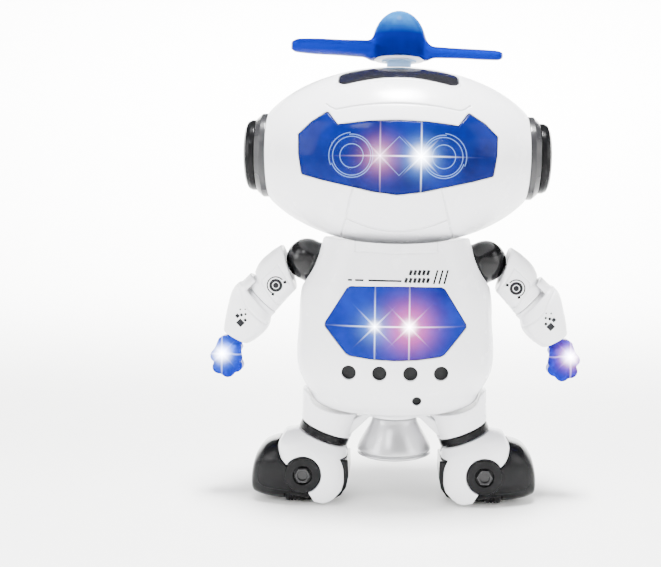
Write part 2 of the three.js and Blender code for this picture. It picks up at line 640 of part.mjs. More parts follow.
function shoe() {
  const ankle = ([y0, y1], r, segments = sides(r)) => rod(
    vec(ANKLE.at[0], y0, ANKLE.at[1]), vec(ANKLE.at[0], y1, ANKLE.at[1]), r, segments);
  const toe = loft(TOE.map(([x, low, high, halfDepth]) => squircle(14, 2.9).map(([u, v]) =>
    vec(x, u * halfDepth, (low + high) / 2 + (v * (high - low)) / 2))));
  const body = join(
    cut(toe, slab(grown(plateOutline, GAP), -20, 20)),
    slab(CORE, -CORE_HALF, CORE_HALF),
    ankle([-ANKLE.front, ANKLE.front], ANKLE.radius - GAP),
  ).intersect(block([10, -20, 1.2], [70, 20, 40]));
  const wheelRoom = [-1, 1].flatMap((side) => [
    rod(vec(WHEEL.x - 4, side * WHEEL.y, WHEEL.radius), vec(WHEEL.x + 4, side * WHEEL.y, WHEEL.radius),
      WHEEL.radius + 0.6),
    rod(vec(WHEEL.x - 6, side * WHEEL.y, WHEEL.radius), vec(WHEEL.x + 6, side * WHEEL.y, WHEEL.radius),
      WHEEL.axle + 0.35),
  ]);
  return cut(
    body, ...wheelRoom,
    block([23.5, -10.2, 4.4], [37.2, 10.2, 30]),
    ankle([-ANKLE.front - 1, -ANKLE.front + 1.6], 4.1, 6),
    ankle([-ANKLE.front - 1, -12.6], 2.1),
  );
}

function ankleBolt() {
  const [x, z] = ANKLE.at;
  const head = rod(vec(x, -ANKLE.front - 0.8, z), vec(x, -ANKLE.front + 1.3, z), 3.8, 6);
  return cut(
    join(head, rod(vec(x, -ANKLE.front, z), vec(x, -12.9, z), 1.8)),
    rod(vec(x, -ANKLE.front - 2, z), vec(x, -ANKLE.front + 0.6, z), 2.1),
  );
}

const driveMotor = () => {
  const { x, z, half, radius, tab: [tabX, tabY, tabTop] } = DRIVE_MOTOR;
  return join(
    rod(vec(x, -half, z), vec(x, half, z), radius),
    block([x - tabX, -tabY, z + radius - 0.4], [x + tabX, tabY, tabTop]),
  );
};

function wheel() {
  const { radius, width, axle } = WHEEL;
  const half = width / 2;
  const profile = [[0, -half - 1.8], [axle, -half - 1.8], [axle, -half], [radius, -half],
    [radius, half], [axle, half], [axle, half + 1.8], [0, half + 1.8]];
  return turned(profile, 16).rotateY(Math.PI / 2);
}

// ---- arms -----------------------------------------------------------------------------------
const elbowRod = (from, to, radius) => rod(
  inPlane(along(ELBOW.at, ELBOW.axis, from)), inPlane(along(ELBOW.at, ELBOW.axis, to)), radius);
const beyondElbow = (from) => elbowRod(from, from + 60, 60);
const shoulderWedge = () => slab(
  [SHOULDER.at, ...arc(SHOULDER.at, 15, -56, 62, 5)], -1.9, 1.9);

function shoulderBall() {
  const [x, z] = SHOULDER.at;
  const body = join(
    ball([x, 0, z], [SHOULDER.ball, SHOULDER.ball, SHOULDER.ball], 16).subtract(shoulderRod(-15, -5, 14)),
    shoulderRod(-5.8, -4, SHOULDER.disc),
    shoulderRod(-12, 0, 3.6),
    shoulderRod(-11.4, -9.4, 6.3),
  );
  const slot = join(shoulderWedge(), rod(vec(x, -1.9, z), vec(x, 1.9, z), 3.7));
  return join(cut(body, slot), rod(vec(x, -3, z), vec(x, 3, z), 1.5));
}

function upperArm() {
  const [x, z] = SHOULDER.at;
  const body = limb(UPPER_ARM);
  const trimmed = join(
    body.subtract(beyondElbow(-6.5)),
    body.intersect(elbowRod(-7, -ELBOW.gap, ELBOW.clear)),
  );
  const hollow = ball([x, 0, z], [12.2, 12.2, 12.2]);
  const tongue = cut(
    join(
      slab([[x + 1, z + 1.2], [x + 13, z - 3.2], [x + 13, z - 7.4], [x, z - 1.6]], -1.5, 1.5),
      rod(vec(x, -1.5, z), vec(x, 1.5, z), 3.3),
    ),
    rod(vec(x, -5, z), vec(x, 5, z), 1.8),
  );
  return cut(join(trimmed.subtract(hollow), tongue), elbowRod(-8.6, 5, 4.3), elbowRod(-8.6, -5.6, 5.3));
}

function forearm() {
  const guardCentre = along(ELBOW.at, ELBOW.axis, -5.4);
  const across = [-ELBOW.axis[1], ELBOW.axis[0]];
  const guardRegion = slab([
    along(guardCentre, across, 8), along(guardCentre, across, 13.2),
    along(along(ELBOW.at, ELBOW.axis, 2), across, 14), along(along(ELBOW.at, ELBOW.axis, 2), across, 8),
  ], -9, 9);
  const guard = cut(elbowRod(-5.4, 2, 13.1), elbowRod(-8, ELBOW.gap, 11.2)).intersect(guardRegion);
  const body = limb(FOREARM).intersect(beyondElbow(ELBOW.gap));
  const stub = join(elbowRod(-7.4, 4, 4), elbowRod(-7.4, -6.2, 4.9), elbowRod(-0.6, 3, 8));
  const wristEnd = along(WRIST.at, WRIST.axis, -6);
  const bore = rod(inPlane(wristEnd), inPlane(along(WRIST.at, WRIST.axis, 8)), 4.3);
  return cut(join(body, guard, stub), bore);
}

function hand() {
  const back = along(WRIST.at, WRIST.axis, -5.4);
  const palm = new THREE.ExtrudeGeometry(shapeOf(grown(FIST, -1.6)), {
    depth: 7.6, bevelEnabled: true, bevelSize: 1.6, bevelThickness: 2.2, bevelSegments: 1, steps: 1,
  });
  palm.rotateX(Math.PI / 2);
  palm.translate(0, 3.8, 0);
  const clear = limb(FOREARM.slice(2).map(([o, i, d, p]) => [o, i, d + 2, p]), 12)
    .intersect(block([0, -20, 0], [100, 20, 200]));
  const wristPlane = rod(inPlane(along(WRIST.at, WRIST.axis, -20)),
    inPlane(along(WRIST.at, WRIST.axis, GAP)), 30, 4);
  const body = cut(solid(palm), wristPlane, clear);
  const spigot = rod(inPlane(back), inPlane(along(WRIST.at, WRIST.axis, 2)), 4);
  const bore = rod(inPlane(along(back, WRIST.axis, -1)), inPlane(along(WRIST.at, WRIST.axis, 9)), 2.9);
  return cut(join(body, spigot), bore);
}

function handLight() {
  const start = along(WRIST.at, WRIST.axis, -4);
  const end = along(WRIST.at, WRIST.axis, 5.5);
  return join(rod(inPlane(start), inPlane(end), 2.5), ball(inPlane(end).toArray(), [2.5, 2.5, 2.5]));
}

// ---- assembly -------------------------------------------------------------------------------
const robot = new THREE.Group();

function add(name, shape, material, position = [0, 0, 0]) {
  const geometry = shape.isBufferGeometry ? shape : geometryOf(shape);
  const mesh = new THREE.Mesh(geometry, material());
  mesh.name = name;
  mesh.position.set(...position);
  robot.add(mesh);
}

function addPair(name, shape, material) {
  const geometry = shape.isBufferGeometry ? shape : geometryOf(shape);
  add(`${name}_left`, geometry, material);
  add(`${name}_right`, mirrored(geometry), material);
}

const head = headShells();
add('head_front_shell', head.front, WHITE);
add('head_rear_shell', head.rear, WHITE);
add('visor_lens', visorLens(), LENS);
add('eye_light_board', lightBoard(EYE_LIGHTS), BOARD);
add('top_window', topWindow(), SMOKE);
addPair('ear_ring', earRing(), GREY);
addPair('ear_cap', earCap(), BLACK);
add('rotor_motor', rotorMotor(), STEEL, [0, ROTOR_MOTOR_Y, 0]);
add('rotor_pinion', rotorPinion(), GEAR_WHITE, [0, ROTOR_MOTOR_Y, ROTOR.gearZ]);
add('rotor_column', rotorColumn(), PALE_BLUE);
add('rotor_light_board', rotorLightBoard(), BOARD);
add('rotor_blades', rotorBlades(), BLUE);
add('rotor_base_plate', rotorBasePlate(), WHITE);
add('rotor_gear', rotorGear(), GEAR_WHITE, [0, 0, ROTOR.gearZ]);

const torso = torsoShells();
add('torso_front_shell', torso.front, WHITE);
add('torso_rear_shell', torso.rear, WHITE);
add('chest_lens', chestLens(), LENS);
add('chest_light_board', lightBoard(CHEST_LIGHTS), BOARD);
add('speaker', speaker(), BLACK);
add('control_board', controlBoard(), BOARD);
[-1, 0, 1].forEach((column, i) => {
  add(`battery_${i + 1}`, batteryCell(), CELL_SKIN, [column * CELL.pitch, CELL.y, CELL.z]);
});
add('battery_cover', batteryCover(), WHITE);
add('cover_screw', coverScrew(), STEEL);
add('power_switch', powerSwitch(), BLACK);
add('neck_spindle', neckSpindle(), WHITE);
add('waist_motor', waistMotor(), STEEL, [PINION_X, PINION_Y, 0]);
add('waist_pinion', waistPinion(), GEAR_WHITE, [PINION_X, PINION_Y, WAIST_GEARS.z]);

addPair('shoulder_ball', shoulderBall(), BLACK);
addPair('upper_arm', upperArm(), WHITE);
addPair('forearm', forearm(), WHITE);
addPair('hand', hand(), BLUE);
addPair('hand_led', handLight(), LIGHT);

add('pelvis_frame', pelvisFrame(), WHITE);
add('waist_gear', waistGear(), GEAR_WHITE, [0, 0, WAIST_GEARS.z]);
add('skirt_bell', skirtBell(), SILVER);
addPair('thigh', thigh(), WHITE);
addPair('leg_ring', legRing(), BLACK);
addPair('shank', shank(), WHITE);
addPair('shoe', shoe(), BLACK);
addPair('ankle_bolt', ankleBolt(), BLACK);
addPair('drive_motor', driveMotor(), STEEL);
for (const [side, x] of [['left', WHEEL.x], ['right', -WHEEL.x]]) {
  add(`wheel_front_${side}`, wheel(), BLACK, [x, -WHEEL.y, WHEEL.radius]);
  add(`wheel_rear_${side}`, wheel(), BLACK, [x, WHEEL.y, WHEEL.radius]);
}

export default robot;
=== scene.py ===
"""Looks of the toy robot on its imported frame. Shapes are worked out in millimetres and scaled once, in add().

A solid is a function of x, y and z that gives the distance to its surface, negative inside.
It is sampled on a grid, turned into faces, and every point is then settled on the exact surface.
"""

import json
import math
from functools import reduce

import bpy
import numpy as np
import openvdb as vdb
from mathutils import Euler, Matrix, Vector

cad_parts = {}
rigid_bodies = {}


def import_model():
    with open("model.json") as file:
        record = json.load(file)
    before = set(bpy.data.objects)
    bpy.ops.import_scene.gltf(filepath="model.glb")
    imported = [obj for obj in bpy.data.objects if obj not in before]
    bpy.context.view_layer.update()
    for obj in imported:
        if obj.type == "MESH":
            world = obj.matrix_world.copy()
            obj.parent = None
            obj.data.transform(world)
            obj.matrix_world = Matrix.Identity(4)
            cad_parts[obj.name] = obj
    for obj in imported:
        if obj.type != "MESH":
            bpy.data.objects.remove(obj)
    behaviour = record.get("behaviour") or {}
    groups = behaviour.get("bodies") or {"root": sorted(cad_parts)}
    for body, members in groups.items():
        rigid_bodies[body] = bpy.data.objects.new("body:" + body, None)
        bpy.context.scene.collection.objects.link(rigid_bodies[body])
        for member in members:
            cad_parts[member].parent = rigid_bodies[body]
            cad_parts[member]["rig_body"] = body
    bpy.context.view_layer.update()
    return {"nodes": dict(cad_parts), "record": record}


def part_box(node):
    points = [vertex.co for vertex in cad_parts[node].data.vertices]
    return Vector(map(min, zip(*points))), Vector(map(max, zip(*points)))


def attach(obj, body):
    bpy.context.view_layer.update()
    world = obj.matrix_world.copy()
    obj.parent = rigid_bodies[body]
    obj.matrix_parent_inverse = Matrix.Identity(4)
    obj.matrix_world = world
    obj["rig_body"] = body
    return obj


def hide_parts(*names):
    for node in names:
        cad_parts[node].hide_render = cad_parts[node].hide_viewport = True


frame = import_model()

MM = 0.001
SIDES = (("left", False), ("right", True))
UP, DOWN, BACK = (0, 0, 1), (0, 0, -1), (0, 1, 0)
AT_ONCE, BLOCK = 60000, 40
COARSER = 1.0


SLOTS = {part["node"]: part["material_slot"] for part in frame["record"]["subparts"]}


def box_mm(node):
    low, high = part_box(node)
    return np.array(low) / MM, np.array(high) / MM


# ---- solids ---------------------------------------------------------------------------------
def soft_min(a, b, k):
    if k <= 0:
        return np.minimum(a, b)
    near = np.maximum(k - np.abs(a - b), 0) / k
    return np.minimum(a, b) - near * near * k / 4


def join(k, *solids):
    """The solids together, with a fillet of about k where they meet."""
    return lambda x, y, z: reduce(lambda a, b: soft_min(a, b, k), (solid(x, y, z) for solid in solids))


def outside(solid):
    return lambda x, y, z: -solid(x, y, z)


def overlap(k, *solids):
    return outside(join(k, *map(outside, solids)))


def cut(k, solid, *tools):
    return overlap(k, solid, *map(outside, tools))


def thicker(solid, by):
    return lambda x, y, z: solid(x, y, z) - by


def two_sided(solid):
    """The solid drawn for +x, together with its mirror image."""
    return lambda x, y, z: solid(np.abs(x), y, z)


def plane(point, normal):
    """Everything behind a plane; the normal points out of the solid."""
    n = np.array(normal, float) / np.linalg.norm(normal)
    offset = float(n @ np.array(point, float))
    return lambda x, y, z: x * n[0] + y * n[1] + z * n[2] - offset


def ellipsoid(centre, radii):
    def distance(x, y, z):
        u, v, w = ((p - c) / r for p, c, r in zip((x, y, z), centre, radii))
        reach = np.sqrt(u * u + v * v + w * w)
        slope = np.sqrt((u / radii[0]) ** 2 + (v / radii[1]) ** 2 + (w / radii[2]) ** 2)
        return reach * (reach - 1) / np.maximum(slope, 1e-6)

    return distance


def ball(centre, radius):
    return ellipsoid(centre, (radius,) * 3)


def rounded(across, along, edge):
    """The distance to a body known by its distance across and along, with its edge rounded."""
    a, b = across + edge, along + edge
    return np.minimum(np.maximum(a, b), 0) + np.hypot(np.maximum(a, 0), np.maximum(b, 0)) - edge


def rod(start, end, radius, edge=0.0):
    a, b = np.array(start, float), np.array(end, float)
    middle, half = (a + b) / 2, np.linalg.norm(b - a) / 2
    n = (b - a) / (2 * half)

    def distance(x, y, z):
        u, v, w = x - middle[0], y - middle[1], z - middle[2]
        t = u * n[0] + v * n[1] + w * n[2]
        across = np.sqrt(np.maximum(u * u + v * v + w * w - t * t, 0)) - radius
        return rounded(across, np.abs(t) - half, edge)

    return distance


def rods_along(origin, direction):
    """A maker of rods on one line, each given by where it starts and ends along it."""
    o, d = np.array(origin, float), np.array(direction, float)
    return lambda start, end, radius, edge=0.0: rod(o + d * start, o + d * end, radius, edge)


upright = rods_along((0, 0, 0), UP)


def capsule(start, end, radius):
    a, b = np.array(start, float), np.array(end, float)
    d = b - a

    def distance(x, y, z):
        u, v, w = x - a[0], y - a[1], z - a[2]
        t = np.clip((u * d[0] + v * d[1] + w * d[2]) / float(d @ d), 0, 1)
        return np.sqrt((u - d[0] * t) ** 2 + (v - d[1] * t) ** 2 + (w - d[2] * t) ** 2) - radius

    return distance


def grown(outline, by):
    """A closed outline moved outwards."""
    p = np.array(outline, float)
    before, after = p - np.roll(p, 1, 0), np.roll(p, -1, 0) - p
    turn = np.sign(np.sum(p[:, 0] * np.roll(p[:, 1], -1) - np.roll(p[:, 0], -1) * p[:, 1]))
    normals = [
        turn * np.stack([e[:, 1], -e[:, 0]], 1) / np.linalg.norm(e, axis=1)[:, None] for e in (before, after)
    ]
    spread = by / (1 + np.sum(normals[0] * normals[1], 1))
    return p + (normals[0] + normals[1]) * spread[:, None]


def outline_distance(u, v, outline, corner=0.0):
    """Signed distance in a plane to a closed outline whose corners are rounded."""
    points = grown(outline, -corner) if corner else np.array(outline, float)
    shape = np.broadcast(u, v).shape
    nearest = np.full(shape, 1e12)
    inside = np.zeros(shape, bool)
    for (ax, ay), (bx, by) in zip(points, np.roll(points, -1, 0)):
        ex, ey = bx - ax, by - ay
        wx, wy = u - ax, v - ay
        t = np.clip((wx * ex + wy * ey) / (ex * ex + ey * ey + 1e-12), 0, 1)
        nearest = np.minimum(nearest, (wx - ex * t) ** 2 + (wy - ey * t) ** 2)
        if abs(ey) > 1e-9:
            inside ^= ((ay > v) != (by > v)) & (u < ex * wy / ey + ax)
    return np.where(inside, -1, 1) * np.sqrt(nearest) - corner


def slab(outline, y_low, y_high, corner=0.0, edge=0.0):
    """An outline of (x, z) points, thick along y."""
    middle, half = (y_low + y_high) / 2, (y_high - y_low) / 2
    return lambda x, y, z: rounded(outline_distance(x, z, outline, corner), np.abs(y - middle) - half, edge)


def tile(outline, z_low, z_high, corner=0.0, edge=0.0):
    """An outline of (x, y) points, thick along z."""
    middle, half = (z_low + z_high) / 2, (z_high - z_low) / 2
    return lambda x, y, z: rounded(outline_distance(x, y, outline, corner), np.abs(z - middle) - half, edge)


def block(low, high, edge=0.0):
    middle, half = (np.array(low, float) + high) / 2, (np.array(high, float) - low) / 2

    def distance(x, y, z):
        across = rounded(np.abs(x - middle[0]) - half[0], np.abs(y - middle[1]) - half[1], edge)
        return rounded(across, np.abs(z - middle[2]) - half[2], edge)

    return distance


def turned(profile, corner=0.0, axis="z", centre=(0.0, 0.0)):
    """A profile of (radius, position) points turned about an upright axis, or one along x."""
    points = [(r if r > 0 else -60.0, t) for r, t in profile]

    def distance(x, y, z):
        along, a, b = (z, x - centre[0], y - centre[1]) if axis == "z" else (x, y - centre[0], z - centre[1])
        return outline_distance(np.hypot(a, b), along, points, corner)

    return distance


def curve(t, knots, values):
    """A smooth curve through values at the knots, carried on straight past both ends."""
    knots, values = np.array(knots, float), np.array(values, float)
    steps = np.diff(values) / np.diff(knots)
    slopes = np.concatenate([steps[:1], (steps[:-1] + steps[1:]) / 2, steps[-1:]])
    i = np.clip(np.searchsorted(knots, t) - 1, 0, len(knots) - 2)
    h = knots[i + 1] - knots[i]
    s = np.clip((t - knots[i]) / h, 0, 1)
    inside = (
        (2 * s**3 - 3 * s**2 + 1) * values[i]
        + (s**3 - 2 * s**2 + s) * h * slopes[i]
        + (3 * s**2 - 2 * s**3) * values[i + 1]
        + (s**3 - s**2) * h * slopes[i + 1]
    )
    past = np.where(t < knots[0], (t - knots[0]) * slopes[0], np.maximum(t - knots[-1], 0) * slopes[-1])
    return inside + past


def smooth(knots, values, reach=25.0):
    """The same curve, looked up in a fine table."""
    fine = np.linspace(knots[0] - reach, knots[-1] + reach, 4001)
    table = curve(fine, knots, values)
    return lambda t: np.interp(t, fine, table)


def smooth_line(points, steps=8):
    """A finer line through the points, for drawing curves."""
    knots = np.arange(len(points))
    fine = np.linspace(0, len(points) - 1, steps * (len(points) - 1) + 1)
    return np.stack([curve(fine, knots, [p[i] for p in points]) for i in (0, 1)], 1)


def arc(centre, radius, start, end, steps=24):
    angles = np.radians(np.linspace(start, end, steps + 1))
    return [(centre[0] + radius * math.cos(a), centre[1] + radius * math.sin(a)) for a in angles]


def squircle_distance(u, v, half_u, half_v, power):
    """Distance in a plane to a rounded rectangle: power 2 is an ellipse, larger is squarer."""
    scale = (np.abs(u / half_u) ** power + np.abs(v / half_v) ** power) ** (1 / power)
    ellipse = np.hypot(u / half_u**2, v / half_v**2)
    gentle = scale * (scale - 1) / np.maximum(ellipse, 1e-6)
    return np.where(scale > 0.2, gentle, -np.minimum(half_u, half_v) * 0.8)


def limb(sections, edge=0.8):
    """A body through sections given by an outer and an inner (x, z) point, a half depth and a squareness."""
    knots, last = np.arange(len(sections)), len(sections) - 1
    rows = np.array([
        [(a[0] + b[0]) / 2, (a[1] + b[1]) / 2, (a[0] - b[0]) / 2, (a[1] - b[1]) / 2, depth, power]
        for a, b, depth, power in sections
    ])
    fine = np.linspace(-0.5, last + 0.5, 48)

    curves = [smooth(knots, column, 1.5) for column in rows.T]

    def at(s):
        return [found(s) for found in curves]

    def planes_at(s):
        """The planes of the sections at s: a point lies ahead of one where x * a + z * b > c."""
        mx, mz, rx, rz = at(np.array(s, float))[:4]
        dx, dz = rows[-1, :2] - rows[0, :2]
        half = np.hypot(rx, rz) * np.sign(dz * rows[0, 2] - dx * rows[0, 3])
        a, b = -rz / half, rx / half
        return list(zip(a, b, a * mx + b * mz))

    sections_ahead, first, end = planes_at(fine), *planes_at([0, last])

    def distance(x, y, z):
        planes = np.stack([x * a + z * b - c for a, b, c in sections_ahead])
        k = np.clip((planes > 0).sum(0) - 1, 0, len(fine) - 2)[None]
        here, there = np.take_along_axis(planes, k, 0)[0], np.take_along_axis(planes, k + 1, 0)[0]
        s = fine[k[0]] + (fine[1] - fine[0]) * np.clip(here / np.maximum(here - there, 1e-6), 0, 1)
        mx, mz, rx, rz, depth, power = at(s)
        half = np.hypot(rx, rz)
        u = ((x - mx) * rx + (z - mz) * rz) / half
        side = squircle_distance(u, y, half, depth, power)
        ends = np.maximum(first[2] - x * first[0] - z * first[1], x * end[0] + z * end[1] - end[2])
        return -soft_min(-side, -(ends + 0 * y), edge)

    return distance


# ---- lines pressed into a surface -----------------------------------------------------------
def drawn_lines(lines, step=0.08, reach=2.0):
    """Distance in a plane to lines of points, up to a reach, worked out once on a fine table."""
    every = np.concatenate([np.array(line, float) for line in lines])
    low = every.min(0) - reach
    us, vs = (np.arange(a, b + reach, step) for a, b in zip(low, every.max(0)))
    table = np.full((len(us), len(vs)), reach)
    for line in lines:
        for a, b in zip(line[:-1], line[1:]):
            first, last = np.minimum(a, b) - reach, np.maximum(a, b) + reach
            i, j = (slice(*np.searchsorted(axis, (f, g))) for axis, f, g in zip((us, vs), first, last))
            u, v = us[i][:, None] - a[0], vs[j][None] - a[1]
            ex, ey = b[0] - a[0], b[1] - a[1]
            t = np.clip((u * ex + v * ey) / (ex * ex + ey * ey + 1e-12), 0, 1)
            table[i, j] = np.minimum(table[i, j], np.hypot(u - ex * t, v - ey * t))

    def distance(u, v):
        p, q = (np.clip((w - a) / step, 0, len(ws) - 1.01) for w, a, ws in ((u, low[0], us), (v, low[1], vs)))
        i, j = p.astype(int), q.astype(int)
        p, q = p - i, q - j
        below = table[i, j] * (1 - q) + table[i, j + 1] * q
        above = table[i + 1, j] * (1 - q) + table[i + 1, j + 1] * q
        return below * (1 - p) + above * p

    return distance


def front_lines(*lines, until=0.0):
    """Distance to lines of (x, z) points on the side that faces the front."""
    drawn = drawn_lines(lines)
    return lambda x, y, z: drawn(x, z) + 50.0 * (y > until)


def engraved(solid, lines, width=0.34, depth=0.45):
    return lambda x, y, z: solid(x, y, z) + depth * np.exp(-((lines(x, y, z) / width) ** 2))


# ---- meshes ---------------------------------------------------------------------------------
def refined(points, faces, near):
    """Splits the edges whose two ends are near, and the faces beside them."""
    ends = np.sort(np.concatenate([faces[:, [0, 1]], faces[:, [1, 2]], faces[:, [2, 0]]]), 1)
    keys, where = np.unique(ends[:, 0].astype(np.int64) * len(points) + ends[:, 1], return_inverse=True)
    a, b = keys // len(points), keys % len(points)
    split = near[a] & near[b]
    number = np.full(len(keys), -1)
    number[split] = len(points) + np.arange(split.sum())
    points = np.concatenate([points, (points[a[split]] + points[b[split]]) / 2])
    m = number[where].reshape(3, -1).T
    count = (m >= 0).sum(1)
    made = [faces[count == 0]]
    f, n = faces[count == 3], m[count == 3]
    made += [
        np.stack(t, 1)
        for t in (
            (f[:, 0], n[:, 0], n[:, 2]),
            (n[:, 0], f[:, 1], n[:, 1]),
            (n[:, 2], n[:, 1], f[:, 2]),
            (n[:, 0], n[:, 1], n[:, 2]),
        )
    ]
    for i in range(3):
        one = (count == 1) & (m[:, i] >= 0)
        f, n = faces[one], m[one, i]
        p, q, r = f[:, i], f[:, (i + 1) % 3], f[:, (i + 2) % 3]
        made += [np.stack((p, n, r), 1), np.stack((n, q, r), 1)]
    return points, np.concatenate(made)


def unit(vectors):
    return vectors / np.maximum(np.linalg.norm(vectors, axis=1), 1e-9)[:, None]


def agreement(points, faces, normals):
    """How far each face looks the way of its first point's normal; negative means the wrong way round."""
    a, b, c = (points[faces[:, i]] for i in range(3))
    return (np.cross(b - a, c - a) * normals[faces[:, 0]]).sum(1)


def slope(solid, points, step=0.06):
    """Distance and its gradient at the points."""
    here, gradient = np.empty(len(points)), np.empty((len(points), 3))
    for start in range(0, len(points), AT_ONCE):
        some = np.ascontiguousarray(points[start : start + AT_ONCE].T)
        now = solid(*some)
        here[start : start + AT_ONCE] = now
        for i in range(3):
            moved = some.copy()
            moved[i] += step
            gradient[start : start + AT_ONCE, i] = (solid(*moved) - now) / step
    return here, gradient


def sampled(solid, axes, voxel):
    """The distances on a grid. A block that the surface can't reach is filled from its middle alone."""
    field = np.empty([len(a) for a in axes], np.float32)
    starts = [range(0, len(a), BLOCK) for a in axes]
    middles = [np.array([a[i : i + BLOCK].mean() for i in s]) for a, s in zip(axes, starts)]
    x, y, z = np.meshgrid(*middles, indexing="ij", sparse=True)
    coarse = np.broadcast_to(solid(x, y, z), [len(m) for m in middles])
    reach = BLOCK * voxel * 1.3
    for where, middle in np.ndenumerate(coarse):
        spans = [slice(s[i], s[i] + BLOCK) for s, i in zip(starts, where)]
        if abs(middle) < reach:
            x, y, z = np.meshgrid(*[a[span] for a, span in zip(axes, spans)], indexing="ij", sparse=True)
            field[tuple(spans)] = solid(x, y, z)
        else:
            field[tuple(spans)] = middle
    return field


def surface(solid, low, high, voxel, lines=None):
    voxel *= COARSER
    axes = [np.arange(a, b + voxel, voxel) for a, b in zip(low, high)]
    grid = vdb.FloatGrid(1.0)
    grid.copyFromArray(sampled(solid, axes, voxel))
    points, triangles, quads = grid.convertToPolygons(isovalue=0.0, adaptivity=0.0)
    points = points.astype(float) * voxel + [a[0] for a in axes]
    faces = np.concatenate([triangles, quads[:, [0, 1, 2]], quads[:, [0, 2, 3]]]).astype(np.int64)
    if lines is not None:
        for band in (1.6, 1.0):
            points, faces = refined(points, faces, lines(*points.T) < band)
    for _ in range(4):
        here, gradient = slope(solid, points)
        pull = here / np.maximum((gradient**2).sum(1), 0.2)
        points = points - gradient * np.clip(pull, -voxel / 2, voxel / 2)[:, None]
    normals = unit(slope(solid, points)[1])
    if agreement(points, faces, normals).sum() < 0:
        faces = faces[:, ::-1]
    return points, faces, normals


def add(name, skin, body, nodes, material, mirror=False):
    """A mesh that rides on a body and stands for its CAD nodes."""
    points, faces, normals = skin
    if mirror:
        points, normals, faces = points * [-1, 1, 1], normals * [-1, 1, 1], faces[:, ::-1]
    mesh = bpy.data.meshes.new(name)
    mesh.vertices.add(len(points))
    mesh.vertices.foreach_set("co", (points * MM).astype(np.float32).ravel())
    mesh.loops.add(faces.size)
    mesh.loops.foreach_set("vertex_index", faces.astype(np.int32).ravel())
    mesh.polygons.add(len(faces))
    mesh.polygons.foreach_set("loop_start", np.arange(0, faces.size, 3, dtype=np.int32))
    mesh.update(calc_edges=True)
    mesh.shade_smooth()
    mesh.normals_split_custom_set_from_vertices(normals.tolist())
    mesh.materials.append(material)
    obj = bpy.data.objects.new(name, mesh)
    bpy.context.scene.collection.objects.link(obj)
    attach(obj, body)
    if nodes:
        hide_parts(*nodes)
    return obj


def stand_in(node, skin, look, mirror=False):
    """A mesh in the place of one CAD node, with that node's body, and the look of that node's slot unless
    another look is given.
    """
    slot = SLOTS[node]
    add(node + "_look", skin, frame["nodes"][node]["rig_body"], [node], look or LOOKS[slot], mirror)


def piece(node, solid, voxel, look=None, margin=1.5, lines=None):
    """A solid that stands for one CAD node, sampled in that node's own box."""
    low, high = box_mm(node)
    stand_in(node, surface(solid, low - margin, high + margin, voxel, lines), look)


def pair(node, solid, voxel, looks=(None, None), margin=1.5, lines=None):
    """A left piece and its mirror image on the right; looks is one material for each."""
    low, high = box_mm(node + "_left")
    skin = surface(solid, low - margin, high + margin, voxel, lines)
    for (side, mirror), look in zip(SIDES, looks):
        stand_in(f"{node}_{side}", skin, look, mirror)


def on_front(solid, u, v, start=-70.0):
    """The y of the surface seen from the front at each (x, z)."""
    y = np.full(u.shape, start)
    for _ in range(40):
        y += solid(u, y, v) * 0.8
    return y


def printed(name, solid, shapes, body, material, lift=0.05, mirror=False):
    """Flat print on the front of a solid. Each shape is a grid of (x, z) points, rows by columns."""
    points, faces, start = [], [], 0
    for shape in shapes:
        rows, columns, _ = shape.shape
        u, v = shape[..., 0].ravel(), shape[..., 1].ravel()
        points.append(np.stack([u, on_front(solid, u, v), v], 1))
        i = np.arange(rows * columns).reshape(rows, columns) + start
        a, b, c, d = (p.ravel() for p in (i[:-1, :-1], i[:-1, 1:], i[1:, 1:], i[1:, :-1]))
        faces += [np.stack([a, b, c], 1), np.stack([a, c, d], 1)]
        start += rows * columns
    points, faces = np.concatenate(points), np.concatenate(faces)
    normals = unit(slope(solid, points)[1])
    wrong = agreement(points, faces, normals) < 0
    faces[wrong] = faces[wrong][:, ::-1]
    return add(name, (points + normals * lift, faces, normals), body, [], material, mirror)


def bar(start, end, width, rows=2, columns=14):
    """A straight printed bar between two (x, z) points."""
    a, b = np.array(start, float), np.array(end, float)
    across = np.array([-(b - a)[1], (b - a)[0]]) / np.linalg.norm(b - a) * width / 2
    t = np.linspace(0, 1, columns)[None, :, None]
    s = np.linspace(-1, 1, rows + 1)[:, None, None]
    return a + (b - a) * t + across * s


def ring_print(centre, inner, outer, start=0.0, end=360.0, columns=48):
    angles = np.radians(np.linspace(start, end, columns))[None, :, None]
    radii = np.linspace(inner, outer, 4)[:, None, None]
    return np.array(centre) + radii * np.concatenate([np.cos(angles), np.sin(angles)], 2)


